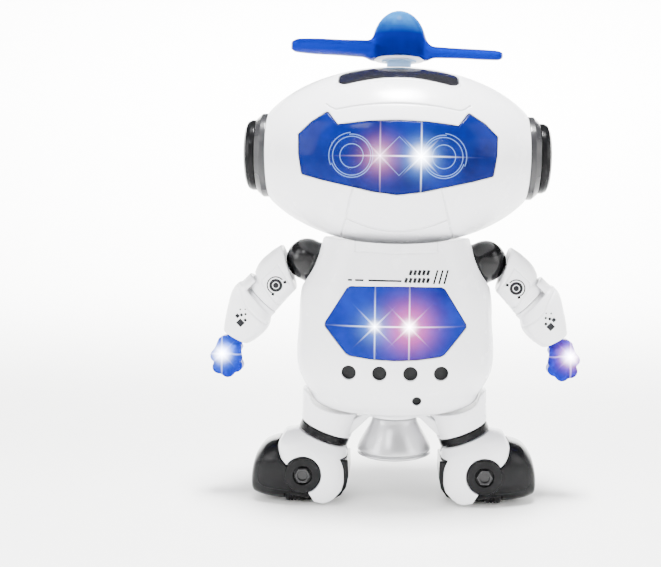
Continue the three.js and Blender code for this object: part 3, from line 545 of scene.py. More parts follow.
# ---- materials ------------------------------------------------------------------------------
class Nodes:
    """Short names for building one material's node tree."""

    def __init__(self, name):
        self.material = bpy.data.materials.new(name)
        self.material.use_nodes = True
        self.tree = self.material.node_tree
        self.shader = self.tree.nodes["Principled BSDF"]
        self.place = self.node("ShaderNodeTexCoord").outputs["Object"]

    def node(self, kind, **values):
        made = self.tree.nodes.new(kind)
        for key, value in values.items():
            setattr(made, key, value)
        return made

    def feed(self, socket, value):
        if isinstance(value, bpy.types.NodeSocket):
            self.tree.links.new(value, socket)
        else:
            socket.default_value = value

    def math(self, operation, *values):
        made = self.node("ShaderNodeMath", operation=operation)
        for socket, value in zip(made.inputs, values):
            self.feed(socket, value)
        return made.outputs[0]

    def times(self, a, b):
        return self.math("MULTIPLY", a, b)

    def minus(self, a, b):
        return self.math("SUBTRACT", a, b)

    def radius(self, u, v):
        return self.math("SQRT", self.math("ADD", self.times(u, u), self.times(v, v)))

    def total(self, *values):
        found = values[0]
        for value in values[1:]:
            found = self.math("ADD", found, value)
        return found

    def noise(self, scale, detail=2.0):
        made = self.node("ShaderNodeTexNoise")
        self.feed(made.inputs["Vector"], self.place)
        made.inputs["Scale"].default_value = scale
        made.inputs["Detail"].default_value = detail
        return made.outputs["Fac"]

    def between(self, value, low, high):
        made = self.node("ShaderNodeMapRange")
        ends = {"Value": value, "From Min": 0.3, "From Max": 0.7, "To Min": low, "To Max": high}
        for key, given in ends.items():
            self.feed(made.inputs[key], given)
        return made.outputs["Result"]

    def mix(self, factor, a, b):
        made = self.node("ShaderNodeMix", data_type="RGBA")
        sockets = [s for s in made.inputs if s.type == "RGBA"]
        self.feed(made.inputs["Factor"], factor)
        for socket, value in zip(sockets, (a, b)):
            self.feed(socket, value if isinstance(value, bpy.types.NodeSocket) else (*value, 1.0))
        return next(s for s in made.outputs if s.type == "RGBA")

    def scaled(self, colour, strength):
        """A colour times a strength socket."""
        made = self.node("ShaderNodeVectorMath", operation="SCALE")
        made.inputs[0].default_value = colour
        self.feed(made.inputs["Scale"], strength)
        return made.outputs[0]

    def plus(self, a, b):
        made = self.node("ShaderNodeVectorMath", operation="ADD")
        self.feed(made.inputs[0], a)
        self.feed(made.inputs[1], b)
        return made.outputs[0]

    def xz(self, centre):
        """Position from an (x, z) centre, in millimetres, as two sockets."""
        split = self.node("ShaderNodeSeparateXYZ")
        self.feed(split.inputs[0], self.place)
        in_mm = (self.math("DIVIDE", split.outputs[i], MM) for i in (0, 2))
        return [self.minus(value, c) for value, c in zip(in_mm, centre)]

    def falloff(self, distance, width):
        """1 at no distance, falling smoothly to 0 past the width."""
        t = self.math("DIVIDE", distance, width)
        return self.math("EXPONENT", self.times(self.times(t, t), -1.0))

    def star(self, centre, core, halo, ray, thin):
        """Core, halo and rays of a light seen through clear plastic, as three strengths."""
        u, v = self.xz(centre)
        r = self.radius(u, v)
        p = self.times(self.math("ADD", u, v), math.sqrt(0.5))
        q = self.times(self.minus(u, v), math.sqrt(0.5))
        lines = ((u, v, ray), (v, u, ray), (p, q, ray / 2), (q, p, ray / 2))
        rays = [self.times(self.falloff(a, length), self.falloff(b, thin)) for a, b, length in lines]
        return self.falloff(r, core), self.falloff(r, halo), self.total(*rays)

    def lamp(self, centre, reach, powers, colour, ray_colour, thin=0.28):
        """What a lamp adds to clear plastic; reach and powers are for its core, its halo and its rays."""
        core, halo, rays = (self.times(a, power) for a, power in zip(self.star(centre, *reach, thin), powers))
        added = self.plus(self.scaled(WHITE_LIGHT, core), self.scaled(colour, halo))
        return self.plus(added, self.scaled(ray_colour, rays))

    def emit(self, colour, strength=1.0):
        self.feed(self.shader.inputs["Emission Color"], colour)
        self.shader.inputs["Emission Strength"].default_value = strength


def moulded(name, colour, roughness, spread=0.03, peel=0.02, metallic=0.0, specular=0.5):
    """Moulded plastic or plated metal with small changes of tone and roughness and a faint skin."""
    n = Nodes(name)
    tone = n.between(n.noise(28.0), 0.0, 1.0)
    low, high = ([c * (1 - spread) for c in colour], [min(1.0, c * (1 + spread)) for c in colour])
    n.feed(n.shader.inputs["Base Color"], n.mix(tone, low, high))
    n.feed(n.shader.inputs["Roughness"], n.between(n.noise(120.0, 3.0), roughness * 0.85, roughness * 1.2))
    bump = n.node("ShaderNodeBump")
    bump.inputs["Strength"].default_value = peel
    bump.inputs["Distance"].default_value = 0.0004
    n.feed(bump.inputs["Height"], n.noise(420.0, 2.0))
    n.feed(n.shader.inputs["Normal"], bump.outputs["Normal"])
    n.shader.inputs["Metallic"].default_value = metallic
    n.shader.inputs["Specular IOR Level"].default_value = specular
    return n


WHITE_LIGHT, PRINT_GLOW_BLUE = (1.0, 1.0, 1.0), (0.30, 0.55, 1.0)


def lit_lens(name, lights, deep, bright, backlight_glow, prints=None):
    """Tinted clear pane: its own blue, a painted glow of the lamps behind it, spread over the whole pane and
    gathered in stars with rays, and any printed lines, painted glowing.
    """
    n = moulded(name, deep, 0.12, spread=0.0, peel=0.01, specular=0.05)
    cloud = n.between(n.noise(75.0, 4.0), 0.0, 1.0)
    blue = n.mix(cloud, deep, bright)
    n.feed(n.shader.inputs["Base Color"], blue)
    # Painted glow: the lamps' light spread over the whole pane in blue, uneven by noise.
    glow = n.scaled(backlight_glow, n.between(n.noise(60.0, 3.0), 0.3, 2.4))
    for light in lights:
        glow = n.plus(glow, n.lamp(*light))
    if prints:
        # The printed lines are painted glowing, as if lit from behind.
        glow = n.plus(glow, n.scaled(PRINT_GLOW_BLUE, n.times(prints(n), 1.6)))
    n.emit(glow)
    return n.material


EYE_X, EYE_Z = 19.2, 157.0


def eye_print(n):
    """Thin rings round each eye and a diamond between them, as one strength."""
    marks = []
    for side in (-1, 1):
        u, v = n.xz((side * EYE_X, EYE_Z))
        r = n.radius(u, v)
        marks += [n.falloff(n.minus(r, radius), 0.16) for radius in (4.9, 8.0)]
        outer = n.falloff(n.minus(r, 8.9), 0.16)
        stepped = n.falloff(n.minus(r, 9.6), 0.16)
        lean = n.minus(n.times(u, side * 0.8), n.times(v, -0.5))
        far = n.math("GREATER_THAN", lean, 5.2)
        marks += [n.times(stepped, far), n.times(outer, n.minus(1.0, far))]
    u, v = n.xz((0.6, EYE_Z))
    edge = n.minus(n.math("ADD", n.math("ABSOLUTE", u), n.math("ABSOLUTE", v)), 8.0)
    return n.total(*marks, n.times(n.falloff(edge, 0.2), 0.5))


# Height where the painted highlight on the rotor dome starts, and how far it fades in.
HIGHLIGHT_START, HIGHLIGHT_BLEND = 213.5, 7.0


def clear_blue(name, colour, glow=None, top_highlight=None):
    """Clear coloured plastic, with a lamp inside or, if asked for, a painted highlight that lightens it towards
    the top.
    """
    n = moulded(name, colour, 0.08, spread=0.08, peel=0.01, specular=0.15)
    n.shader.inputs["Transmission Weight"].default_value = 0.45
    n.shader.inputs["IOR"].default_value = 1.06
    if top_highlight:
        # Painted highlight: the colour turns lighter above a height, as if lit from above.
        up = n.math("DIVIDE", n.xz((0.0, HIGHLIGHT_START))[1], HIGHLIGHT_BLEND)
        up = n.math("MAXIMUM", n.math("MINIMUM", up, 1.0), 0.0)
        lit = n.times(up, n.between(n.noise(160.0), 0.4, 1.0))
        n.feed(n.shader.inputs["Base Color"], n.mix(lit, colour, top_highlight))
    # Painted glow of the lamp inside: a core, a halo and star rays on the plastic.
    if glow:
        n.emit(n.lamp(*glow, thin=0.35))
    return n.material


def glowing(name, colour, strength):
    """The plastic of a lamp that is lit."""
    n = moulded(name, colour, 0.2)
    n.emit(n.mix(n.noise(300.0), colour, [min(1, c * 1.2) for c in colour]), strength)
    return n.material


WHITE = moulded("white_plastic", (0.80, 0.80, 0.825), 0.24, spread=0.012, peel=0.015).material
BLACK = moulded("black_plastic", (0.004, 0.004, 0.0045), 0.18, spread=0.1, specular=0.09).material
JOINT = moulded("joint_black", (0.004, 0.004, 0.0045), 0.2, spread=0.1, peel=0.0, specular=0.24).material
BOLT = moulded("bolt_plastic", (0.010, 0.010, 0.011), 0.25, spread=0.1, specular=0.3).material
# Black for the plugs inside the holes under the lens.
MESH = moulded("hole_plug_black", (0.004, 0.004, 0.0045), 0.5, spread=0.2, peel=0.3, specular=0.15).material
INK = moulded("black_ink", (0.008, 0.008, 0.010), 0.45, spread=0.1, specular=0.12).material
GREY = moulded("grey_trim", (0.022, 0.022, 0.024), 0.2, specular=0.4).material
SILVER = moulded("silver_plastic", (0.46, 0.46, 0.475), 0.32, metallic=0.65).material
SMOKE = moulded("smoked_clear", (0.008, 0.008, 0.010), 0.16, specular=0.22).material
BLUE = clear_blue("blue_clear", (0.0012, 0.008, 0.16))
# The rotor dome's top gets a painted highlight.
ROTOR_BLUE = clear_blue("rotor_blue", (0.0012, 0.008, 0.16), top_highlight=(0.02, 0.16, 0.42))
PALE = clear_blue("pale_tube", (0.45, 0.68, 0.98))
PLATE = moulded("plate_white", (0.74, 0.74, 0.80), 0.3).material
BOARD = moulded("circuit_board", (0.01, 0.14, 0.70), 0.35, spread=0.2).material
STEEL = moulded("plated_steel", (0.55, 0.56, 0.57), 0.32, metallic=1.0).material
NYLON = moulded("nylon_gear", (0.78, 0.76, 0.70), 0.45).material
CELL = moulded("cell_sleeve", (0.05, 0.08, 0.11), 0.3, spread=0.2, metallic=0.3).material
RUBBER = moulded("tyre_rubber", (0.005, 0.005, 0.0055), 0.5, spread=0.15, peel=0.1, specular=0.15).material
LAMP_RED = glowing("lamp_red", (1.0, 0.30, 0.42), 6.0)
LAMP_BLUE = glowing("lamp_blue", (0.55, 0.75, 1.0), 6.0)

PINK, ROSE, ICE = (1.0, 0.30, 0.42), (1.0, 0.13, 0.20), (0.16, 0.44, 1.0)
CHEST_LAMP_Z = 84


VISOR_LENS = lit_lens(
    "visor_lens",
    [
        ((-7.3, EYE_Z), (2.6, 6.6, 9.5), (1.6, 1.1, 2.2), PINK, (0.9, 0.6, 0.8)),
        ((9.8, EYE_Z), (2.9, 6.4, 10.0), (11.0, 1.8, 5.5), ICE, (0.8, 0.9, 1.0)),
    ],
    (0.0012, 0.0035, 0.05),
    (0.003, 0.009, 0.11),
    (0.0025, 0.005, 0.072),
    eye_print,
)
CHEST_LENS = lit_lens(
    "chest_lens",
    [
        ((-9, CHEST_LAMP_Z), (1.9, 6.5, 11.0), (6.0, 1.1, 3.5), ICE, (0.75, 0.88, 1.0)),
        ((6, CHEST_LAMP_Z), (2.3, 9.0, 11.0), (10.0, 1.9, 4.0), ROSE, (1.0, 0.8, 0.88)),
    ],
    (0.0015, 0.005, 0.10),
    (0.004, 0.015, 0.18),
    (0.004, 0.010, 0.12),
)
HAND_BLUE, HAND_REACH, HAND_POWER = (0.003, 0.012, 0.26), (2.6, 5.0, 7.0), (12.0, 1.6, 3.0)
HAND_LEFT = clear_blue(
    "hand_clear_left",
    HAND_BLUE,
    ((81.2, 68.0), HAND_REACH, HAND_POWER, (1.0, 0.16, 0.36), (1.0, 0.75, 0.85)),
)
HAND_RIGHT = clear_blue(
    "hand_clear_right",
    HAND_BLUE,
    ((-80.2, 67.4), HAND_REACH, HAND_POWER, (0.15, 0.45, 1.0), (0.8, 0.9, 1.0)),
)

LOOKS = {
    "white_shell": WHITE, "black_gloss": BLACK, "blue_clear": BLUE, "lens_blue": CHEST_LENS,
    "smoke_clear": SMOKE, "grey_trim": GREY, "silver_plastic": SILVER, "pale_blue": PALE,
    "circuit_board": BOARD, "steel": STEEL,
    "nylon": NYLON, "cell_skin": CELL, "wheel_rubber": RUBBER, "led_red": LAMP_RED, "led_blue": LAMP_BLUE,
}

# ---- head -----------------------------------------------------------------------------------
head_low, head_high = box_mm("head_rear_shell")
HEAD_Z, WALL, GAP, FRONT_DEPTH = 159.0, 2.2, 0.3, (-60, -5)
HEAD_RADII = np.array([67.0, head_high[1], head_high[2] - HEAD_Z])
EAR_PLANE, CHIN = head_high[0], head_low[2]
VISOR = [
    (0, 171.7), (13, 171.2), (25.4, 169.8), (29.7, 175.5), (36.5, 171.3), (42.1, 166.1),
    (41.9, 158), (40.6, 149.7), (31.5, 147.2), (23.3, 145.4), (10.4, 142.6), (0, 141.3),
]


def both_halves(half):
    """A right half outline, top to bottom, closed with its mirror image."""
    return list(half) + [(-x, z) for x, z in half[-2:0:-1]]


def rounded_rectangle(half_width, front, back):
    return [(half_width, back), (half_width, front), (-half_width, front), (-half_width, back)]


def head_skin(inset):
    return ellipsoid((0, 0, HEAD_Z), HEAD_RADII - inset)


visor_outline = both_halves(VISOR)
window_outline = rounded_rectangle(26, -28, -12)
BROW = [
    [(-30.4, 178.9), (-28.6, 177.6), (-26.3, 176.6)],
    [(-26.3, 176.6), (-13.5, 178.5), (0, 179.2), (13.5, 178.5), (26.3, 176.6)],
    [(26.3, 176.6), (28.6, 177.6), (30.4, 178.9)],
]
CHEEK = [(18.4, 144.5), (20.4, 137.6), (22.2, 131), (25.3, 122.3), (26.2, 119.6)]
CHIN_LINE = [(-22.2, 131), (-11, 126.9), (0, 125.4), (11, 126.9), (22.2, 131)]
face_lines = front_lines(*map(smooth_line, [*BROW, CHEEK, [(-x, z) for x, z in CHEEK], CHIN_LINE]))


def window_line(x, y, z):
    """A line pressed round the top window."""
    return np.abs(outline_distance(x, y, window_outline, 5.0) - 1.5) + 50.0 * (z < HEAD_Z)


def head_lines(x, y, z):
    return np.minimum(face_lines(x, y, z), window_line(x, y, z))


def between_ears(half_width):
    return lambda x, y, z: np.abs(x) - half_width + 0 * y


def above(z):
    return plane((0, 0, z), DOWN)


head_outer = overlap(0.9, head_skin(0), between_ears(EAR_PLANE), above(CHIN))
head_inner = overlap(0.5, head_skin(WALL), between_ears(EAR_PLANE - WALL), above(CHIN + 1.6))
head_shell = cut(
    0.6,
    engraved(head_outer, head_lines, 0.36, 0.65),
    head_inner,
    upright(100, 130, 8.4),
    upright(190, 215, 6.0),
    rod((-80, 0, HEAD_Z), (80, 0, HEAD_Z), 12.4),
    slab(grown(visor_outline, GAP), *FRONT_DEPTH, 1.0),
    tile(grown(window_outline, GAP), HEAD_Z + 10, 215, 5.3),
)


def two_halves(name, shell, voxel, lines):
    """A shell parted at its seam, with its pressed lines on the front half."""
    for half, side in (("front", -1), ("rear", 1)):
        halved = overlap(0.35, shell, plane((0, side * GAP / 2, 0), (0, -side, 0)))
        piece(f"{name}_{half}_shell", halved, voxel, lines=lines if half == "front" else None)


two_halves("head", head_shell, 0.62, head_lines)


def pane(skin, prism, wide_prism, step=0.5):
    """A clear pane flush with a skin, with a wider edge behind the wall round its opening."""
    front = cut(0.3, overlap(0.5, skin(0.15), prism), skin(WALL + step))
    edge = cut(0.2, overlap(0.3, skin(WALL + GAP), wide_prism), skin(WALL + 1.5))
    return join(0, front, edge)


visor_edge = slab(grown(visor_outline, 2), *FRONT_DEPTH, 2.0)
visor = pane(head_skin, slab(visor_outline, *FRONT_DEPTH, 0.8), visor_edge)
piece("visor_lens", visor, 0.55, VISOR_LENS)
window_edge = tile(grown(window_outline, 1.5), 175, 215, 6.0)
top_window = pane(head_skin, tile(window_outline, 175, 215, 5.0), window_edge)
piece("top_window", top_window, 0.5)

ear_ring = turned([(12, 58.9), (19, 58.9), (19, 61.5), (16.8, 64), (12, 64)], 0.35, "x", (0, HEAD_Z))
pair("ear_ring", ear_ring, 0.4)
EAR_CAP = [(0, 57), (11.7, 57), (11.7, 64.3), (16, 64.3), (16, 66.5), (15.3, 68), (13.4, 69), (0, 69)]
ear_cap = turned(EAR_CAP, 0.3, "x", (0, HEAD_Z))
pair("ear_cap", ear_cap, 0.45)

# ---- rotor ----------------------------------------------------------------------------------
ROTOR_TURN, ROTOR_PITCH, BLADE_Z = math.radians(13), math.radians(13), 207.3
DOME_TOP, DOME_BOTTOM, DOME_SHOULDER, DOME_RADIUS, DOME_WALL = 225.0, 203.9, 209.0, 12.5, 1.3


def dome(radius, bottom, top):
    cap = ellipsoid((0, 0, DOME_SHOULDER), (radius, radius, top - DOME_SHOULDER))
    skirt = upright(bottom, DOME_SHOULDER, radius, 0.3)
    return join(0, overlap(0, cap, above(DOME_SHOULDER - 0.5)), skirt)


def blade(direction):
    c, s = math.cos(ROTOR_TURN) * direction, math.sin(ROTOR_TURN) * direction
    lean, rise = math.cos(ROTOR_PITCH), math.sin(ROTOR_PITCH)
    stations = [8, 14, 26, 44, 47.5, 49.2]

    def distance(x, y, z):
        along, side, up = x * c + y * s, -x * s + y * c, z - BLADE_Z
        across, thick = side * lean + up * rise, -side * rise + up * lean
        half_chord = curve(along, stations, [6.5, 7.3, 7.0, 5.9, 4.6, 2.2])
        half_thick = curve(along, stations, [2.9, 2.7, 2.4, 2.3, 2.1, 1.5])
        half_chord, half_thick = np.maximum(half_chord, 0.5), np.maximum(half_thick, 0.4)
        section = squircle_distance(across, thick, half_chord, half_thick, 2.3)
        return np.maximum(np.maximum(section, along - stations[-1]), stations[0] - along)

    return distance


rotor = cut(
    0.2,
    join(5.0, dome(DOME_RADIUS, DOME_BOTTOM, DOME_TOP), blade(1), blade(-1)),
    dome(DOME_RADIUS - DOME_WALL, 200, DOME_TOP - DOME_WALL),
)
piece("rotor_blades", rotor, 0.42, ROTOR_BLUE, margin=2)
rotor_bore = upright(180, 210, 4.7)
plate = cut(0.2, upright(202.5, 203.6, 11.3, 0.4), rotor_bore)
piece("rotor_base_plate", plate, 0.35, PLATE)
flared_tube = join(1.2, upright(185, 202.6, 5.6), upright(201.9, 202.6, 8))
sleeve_tube = cut(0.2, flared_tube, rotor_bore)
tube_skin = surface(sleeve_tube, (-10, -10, 183), (10, 10, 205), 0.35)
add("rotor_sleeve", tube_skin, "rotor", [], PALE)

# ---- torso ----------------------------------------------------------------------------------
SECTIONS = [
    (40.8, 16, 13, 2.0), (41.9, 26, 18, 2.0), (44.7, 35, 22, 2.1), (50.8, 39.6, 26.5, 2.2),
    (56, 42.6, 28.9, 2.3), (62.5, 45, 30.5, 2.4), (84.6, 44.6, 31.5, 2.4), (98, 43.6, 30.5, 2.4),
    (110, 38.7, 28.2, 2.4), (127, 31.2, 24, 2.4),
]
torso_low, _ = box_mm("torso_front_shell")
CHEST = [
    (0, 101.2), (20, 101), (21.3, 100.2), (30.9, 84.8), (30.9, 83.4),
    (21.5, 72), (19.8, 71.1), (10, 69.8), (0, 69.3),
]


def torso_skin(inset):
    heights, *columns = zip(*SECTIONS)
    width, depth, squareness = (smooth(heights, column) for column in columns)

    def distance(x, y, z):
        tilt = (width(z + 0.4) - width(z - 0.4)) / 0.8
        side = squircle_distance(x, y, np.maximum(width(z), 4), np.maximum(depth(z), 4), squareness(z))
        return side / np.sqrt(1 + tilt * tilt) + inset

    return overlap(0.8, distance, above(torso_low[2] + inset))


def under_head(gap):
    """Above the torso's dished top: everything that the turning head sweeps, and a gap."""
    widest, tallest = HEAD_RADII[0], HEAD_RADII[2]

    def distance(x, y, z):
        bowl = HEAD_Z - tallest * np.sqrt(np.maximum(1 - (np.hypot(x, y) / widest) ** 2, 0.02)) - gap
        return (bowl - z) * 0.85

    return distance


TILT = math.radians(23.3)
SHOULDER = np.array([41.3, 0, 111.5])
shoulder_rod = rods_along(SHOULDER, (math.cos(TILT), 0, math.sin(TILT)))
shoulder_pin = rods_along(SHOULDER, BACK)


def front_holes(row_radius, small_radius):
    """The row of four holes under the lens, and the small one below."""
    row = [(x, 63.3, -15, row_radius) for x in (-20.3, -6.8, 6.8, 20.3)]
    holes = [*row, (9.8, 50.3, -19, small_radius)]
    return [rod((x, -50, z), (x, end, z), radius) for x, z, end, radius in holes]


BIB = [(-18, 123), (-18, 116.4), (0, 115.6), (18, 116.4), (18, 123)]
torso_lines = front_lines(BIB)
chest_outline = both_halves(CHEST)
torso_solid = cut(0.9, engraved(torso_skin(0), torso_lines), under_head(1.5))
torso_hollow = cut(0.3, torso_skin(WALL), under_head(3.9))
bosses = overlap(0.5, torso_solid, two_sided(shoulder_rod(-8.8, -2, 13.2)))
tray = cut(
    0.2,
    overlap(0.3, torso_solid, block((-26, 5, 54.9), (26, 40, 111.8))),
    block((-24.5, 6.6, 56.5), (24.5, 60, 110.5)),
)
torso_shell = cut(
    0.5,
    join(0.3, cut(0.3, torso_solid, torso_hollow), bosses, tray),
    two_sided(join(0, shoulder_rod(-6.1, 20, 12), shoulder_rod(-14, 0, 4))),
    upright(30, 60, 6.5),
    upright(112.8, 130, 8.3),
    slab(grown(chest_outline, GAP), *FRONT_DEPTH, 1.0),
    block((-24.5, 6, 56.5), (24.5, 60, 110.5), 1.0),
    *front_holes(3.2, 2.1),
    block((-5.5, 15, 49.2), (5.5, 40, 52.8), 0.5),
)
two_halves("torso", torso_shell, 0.5, torso_lines)

chest_edge = slab(grown(chest_outline, 2), *FRONT_DEPTH, 2.0)
chest_lens = pane(torso_skin, slab(chest_outline, *FRONT_DEPTH, 0.8), chest_edge, 0.6)
piece("chest_lens", chest_lens, 0.5)

# Black plugs a little way inside the holes under the lens, so the holes look dark.
sound_plugs = overlap(
    0.1,
    join(0, *front_holes(3.45, 2.3)),
    torso_skin(1.5),
    outside(torso_skin(WALL + 1.0)),
)
plugs_skin = surface(sound_plugs, (-25, -33, 46), (25, -20, 68), 0.4)
add("front_hole_plugs", plugs_skin, "torso", [], MESH)

RIB_STEP, RIBS_Z = 4.4, 98.0


def cover_ribs(x, y, z):
    """Short level grooves across the upper middle of the battery door."""
    away = np.abs((z - RIBS_Z + RIB_STEP / 2) % RIB_STEP - RIB_STEP / 2)
    return away + 50.0 * ((np.abs(x) > 10) | (np.abs(z - RIBS_Z) > 9)) + 0 * y


cover_outline = block((-24.2, 6, 56.8), (24.2, 60, 110.2), 1.0)
screw_rod = rods_along((0, 0, 61), BACK)
battery_cover = cut(
    0.3,
    overlap(0.5, engraved(torso_skin(0), cover_ribs, 0.6, 0.6), cover_outline),
    torso_skin(WALL),
    screw_rod(10, 40, 1.4),
    screw_rod(28.6, 40, 2.7),
)
piece("battery_cover", battery_cover, 0.45, lines=cover_ribs)

cover_screw = cut(
    0.1,
    join(0.2, screw_rod(23.4, 28.9, 1.1), screw_rod(28.9, 29.9, 2.3, 0.3)),
    block((-1.5, 29.3, 60.7), (1.5, 31, 61.3)),
    block((-0.3, 29.3, 59.5), (0.3, 31, 62.5)),
)
piece("cover_screw", cover_screw, 0.2)
power_switch = cut(
    0.1,
    join(0.3, block((-3.5, 20, 49.6), (0.5, 28.2, 52.4), 0.4), block((-6, 19, 48.7), (3, 20.6, 53.3), 0.2)),
    *[block((x - 0.25, 27.6, 49), (x + 0.25, 30, 53)) for x in (-2.5, -1.5, -0.5)],
)
piece("power_switch", power_switch, 0.25)

column = join(0.3, upright(183, 215, 4.2, 0.3), block((-48, -3, 180.5), (48, 3, 183.5), 0.4))
piece("rotor_column", column, 0.4)
lamp_board = join(
    0.3,
    upright(215.3, 216.8, 8.3, 0.3),
    upright(216.2, 219.4, 8.0, 0.5),
    ellipsoid((0, 0, 219.2), (2.3, 2.3, 2.1)),
)
piece("rotor_light_board", lamp_board, 0.35)

# Dashes and slanted marks across the chest.
marks = [bar((-21.1, 104.0), (-19.2, 104.0), 0.8), bar((-17.9, 104.0), (-14.2, 104.0), 0.8)]
marks += [bar((-12.1, 104.0), (2.4, 103.9), 0.8, columns=30)]
for count, start, low, high in ((5, 6.0, 106.5, 108.7), (6, 4.0, 103.2, 105.3)):
    marks += [bar((start + 1.9 * i, low), (start + 1.9 * i + 0.7, high), 1.25) for i in range(count)]
marks += [bar((16.4 + 2.3 * i, 102.7), (18.1 + 2.3 * i, 108.7), 0.8, columns=20) for i in range(3)]
printed("chest_print", torso_skin(0), marks, "torso", INK)

# ---- arms -----------------------------------------------------------------------------------
UPPER_ARM = [
    ((52.7, 118.4), (46.1, 97.8), 9.3, 3.2), ((57.8, 115), (49.5, 94.2), 9.8, 3.2),
    ((63, 110), (52.6, 90.8), 9.7, 3.0), ((66, 103.4), (54.9, 88), 9.4, 2.6),
    ((67.3, 97.3), (56.3, 86.4), 8.8, 2.4),
]
FOREARM = [
    ((71.6, 101.8), (58, 86.6), 10.3, 2.8), ((75.4, 97.3), (58.6, 81.5), 10.5, 3),
    ((77.6, 90), (60.5, 78), 9.6, 3), ((79, 84), (64.5, 74.3), 8.2, 2.8),
    ((79.9, 78), (68.8, 71.7), 6.6, 2.6),
]
FIST = [
    (69.4, 71.4), (71.1, 67.8), (71.3, 61.8), (73.4, 59.4), (78.8, 57.6),
    (83.2, 60.4), (85.0, 64.6), (85.2, 69), (82.8, 75), (79.6, 77.2),
]
ELBOW, ELBOW_AXIS = np.array([61.8, 0, 91.9]), np.array([0.709, 0, -0.705])
ELBOW_ACROSS = np.array([0.705, 0, 0.709])
WRIST, WRIST_AXIS = np.array([74.3, 0, 74.8]), np.array([0.49, 0, -0.872])
elbow_rod, wrist_rod = rods_along(ELBOW, ELBOW_AXIS), rods_along(WRIST, WRIST_AXIS)


def before_elbow(at):
    return plane(ELBOW + ELBOW_AXIS * at, ELBOW_AXIS)


def xz(point):
    return (point[0], point[2])


wedge = slab([xz(SHOULDER), *arc(xz(SHOULDER), 15, -56, 62, 12)], -1.9, 1.9)
cap = cut(0, ball(SHOULDER, 9.7), shoulder_rod(-15, -5, 14))
shoulder_ball = join(
    0.2,
    cut(
        0.4,
        join(
            0.4,
            join(4.0, cap, shoulder_rod(-5.8, -4.6, 11.4, 0.5)),
            shoulder_rod(-12, 0, 3.6),
            shoulder_rod(-11.4, -9.4, 6.3, 0.3),
        ),
        join(0, wedge, shoulder_pin(-1.9, 1.9, 3.7)),
    ),
    shoulder_pin(-3, 3, 1.5),
)
pair("shoulder_ball", shoulder_ball, 0.38, (JOINT, JOINT))

SLEEVE_PANEL = [(48.6, 100.6), (53.7, 109.1), (61.0, 102.6), (61.2, 101.0), (55.0, 91.4), (53.7, 90.8)]
sleeve_lines = front_lines(SLEEVE_PANEL)
sleeve = limb(UPPER_ARM, 1.2)
sleeve_trimmed = join(
    0.6, overlap(1.4, sleeve, before_elbow(-6.5)), overlap(0.6, sleeve, elbow_rod(-7.5, -0.9, 10.7, 0.4))
)
tongue = cut(
    0.2,
    join(
        0.3,
        slab([(42.3, 112.7), (54.3, 108.3), (54.3, 104.1), (41.3, 109.9)], -1.5, 1.5, 0.0, 0.2),
        shoulder_pin(-1.5, 1.5, 3.3),
    ),
    shoulder_pin(-5, 5, 1.8),
)
upper_arm = cut(
    0.3,
    join(0.5, cut(0.9, engraved(sleeve_trimmed, sleeve_lines, 0.32, 0.35), ball(SHOULDER, 12.2)), tongue),
    elbow_rod(-8.6, 5, 4.3),
    elbow_rod(-8.6, -5.6, 5.3),
)
pair("upper_arm", upper_arm, 0.42, lines=sleeve_lines)

# A black sheet inside each sleeve's mouth, round the ball: painted shade in that recess.
painted_shade_sheet = cut(
    0.2,
    overlap(0.3, thicker(sleeve_trimmed, -1.3), ball(SHOULDER, 13.0)),
    ball(SHOULDER, 11.2),
    thicker(tongue, 0.4),
)
painted_shade_sheet_skin = surface(painted_shade_sheet, (40, -11, 92), (62, 11, 120), 0.42)
for side, mirror in SIDES:
    add(f"sleeve_painted_shade_sheet_{side}", painted_shade_sheet_skin, f"arm_{side}", [], BLACK, mirror)

guard_middle = ELBOW + ELBOW_AXIS * -5.4
guard_end = ELBOW + ELBOW_AXIS * 2
guard = overlap(
    0.8,
    cut(0.6, elbow_rod(-5.4, 2.5, 13.1, 0.6), elbow_rod(-8, 0.9, 11.2)),
    slab(
        [
            xz(guard_middle + ELBOW_ACROSS * 8), xz(guard_middle + ELBOW_ACROSS * 13.4),
            xz(guard_end + ELBOW_ACROSS * 14), xz(guard_end + ELBOW_ACROSS * 8),
        ],
        -8.6, 8.6, 0.0, 1.5,
    ),
)
CUFF_LINE = [(59.5, 81.8), (63.1, 84.7), (67.4, 89.2), (70.9, 96.0), (72.6, 99.0)]
cuff_lines = front_lines(smooth_line(CUFF_LINE))
cuff = engraved(overlap(1.2, limb(FOREARM, 1.0), outside(before_elbow(0.9))), cuff_lines, 0.5, 0.5)
forearm = cut(
    0.4,
    join(
        0.9,
        cuff,
        guard,
        join(0.3, elbow_rod(-7.4, 4, 4), elbow_rod(-7.4, -6.2, 4.9, 0.2), elbow_rod(-0.6, 3, 8, 0.3)),
    ),
    wrist_rod(-6, 8, 4.3),
)
pair("forearm", forearm, 0.42, lines=cuff_lines)

KNUCKLES = [(74.0, 61.6, 3.1), (77.7, 59.4, 3.3), (81.6, 61.0, 3.3), (83.0, 66.2, 2.9)]
FINGER_GAPS = [(x, y) for x in (75.9, 79.8) for y in (-5.6, 5.6)]
palm = slab(grown(FIST, -1.0), -4.4, 4.4, 2.0, 2.0)
knuckles = [capsule((x, -2.6, z), (x, 2.6, z), radius) for x, z, radius in KNUCKLES]
thumb = capsule((73.4, -4.0, 69.4), (72.6, -5.0, 65.6), 2.1)
fist = cut(
    0.5,
    join(1.1, palm, *knuckles, thumb),
    *[capsule((x, y, 56.0), (x, y * 1.05, 66.0), 1.0) for x, y in FINGER_GAPS],
    plane(WRIST + WRIST_AXIS * 0.3, WRIST_AXIS),
)
hand = cut(
    0.3,
    join(0.4, fist, wrist_rod(-5.4, 2, 4)),
    wrist_rod(-6.4, 3.6, 2.9),
)
pair("hand", hand, 0.35, (HAND_LEFT, HAND_RIGHT))

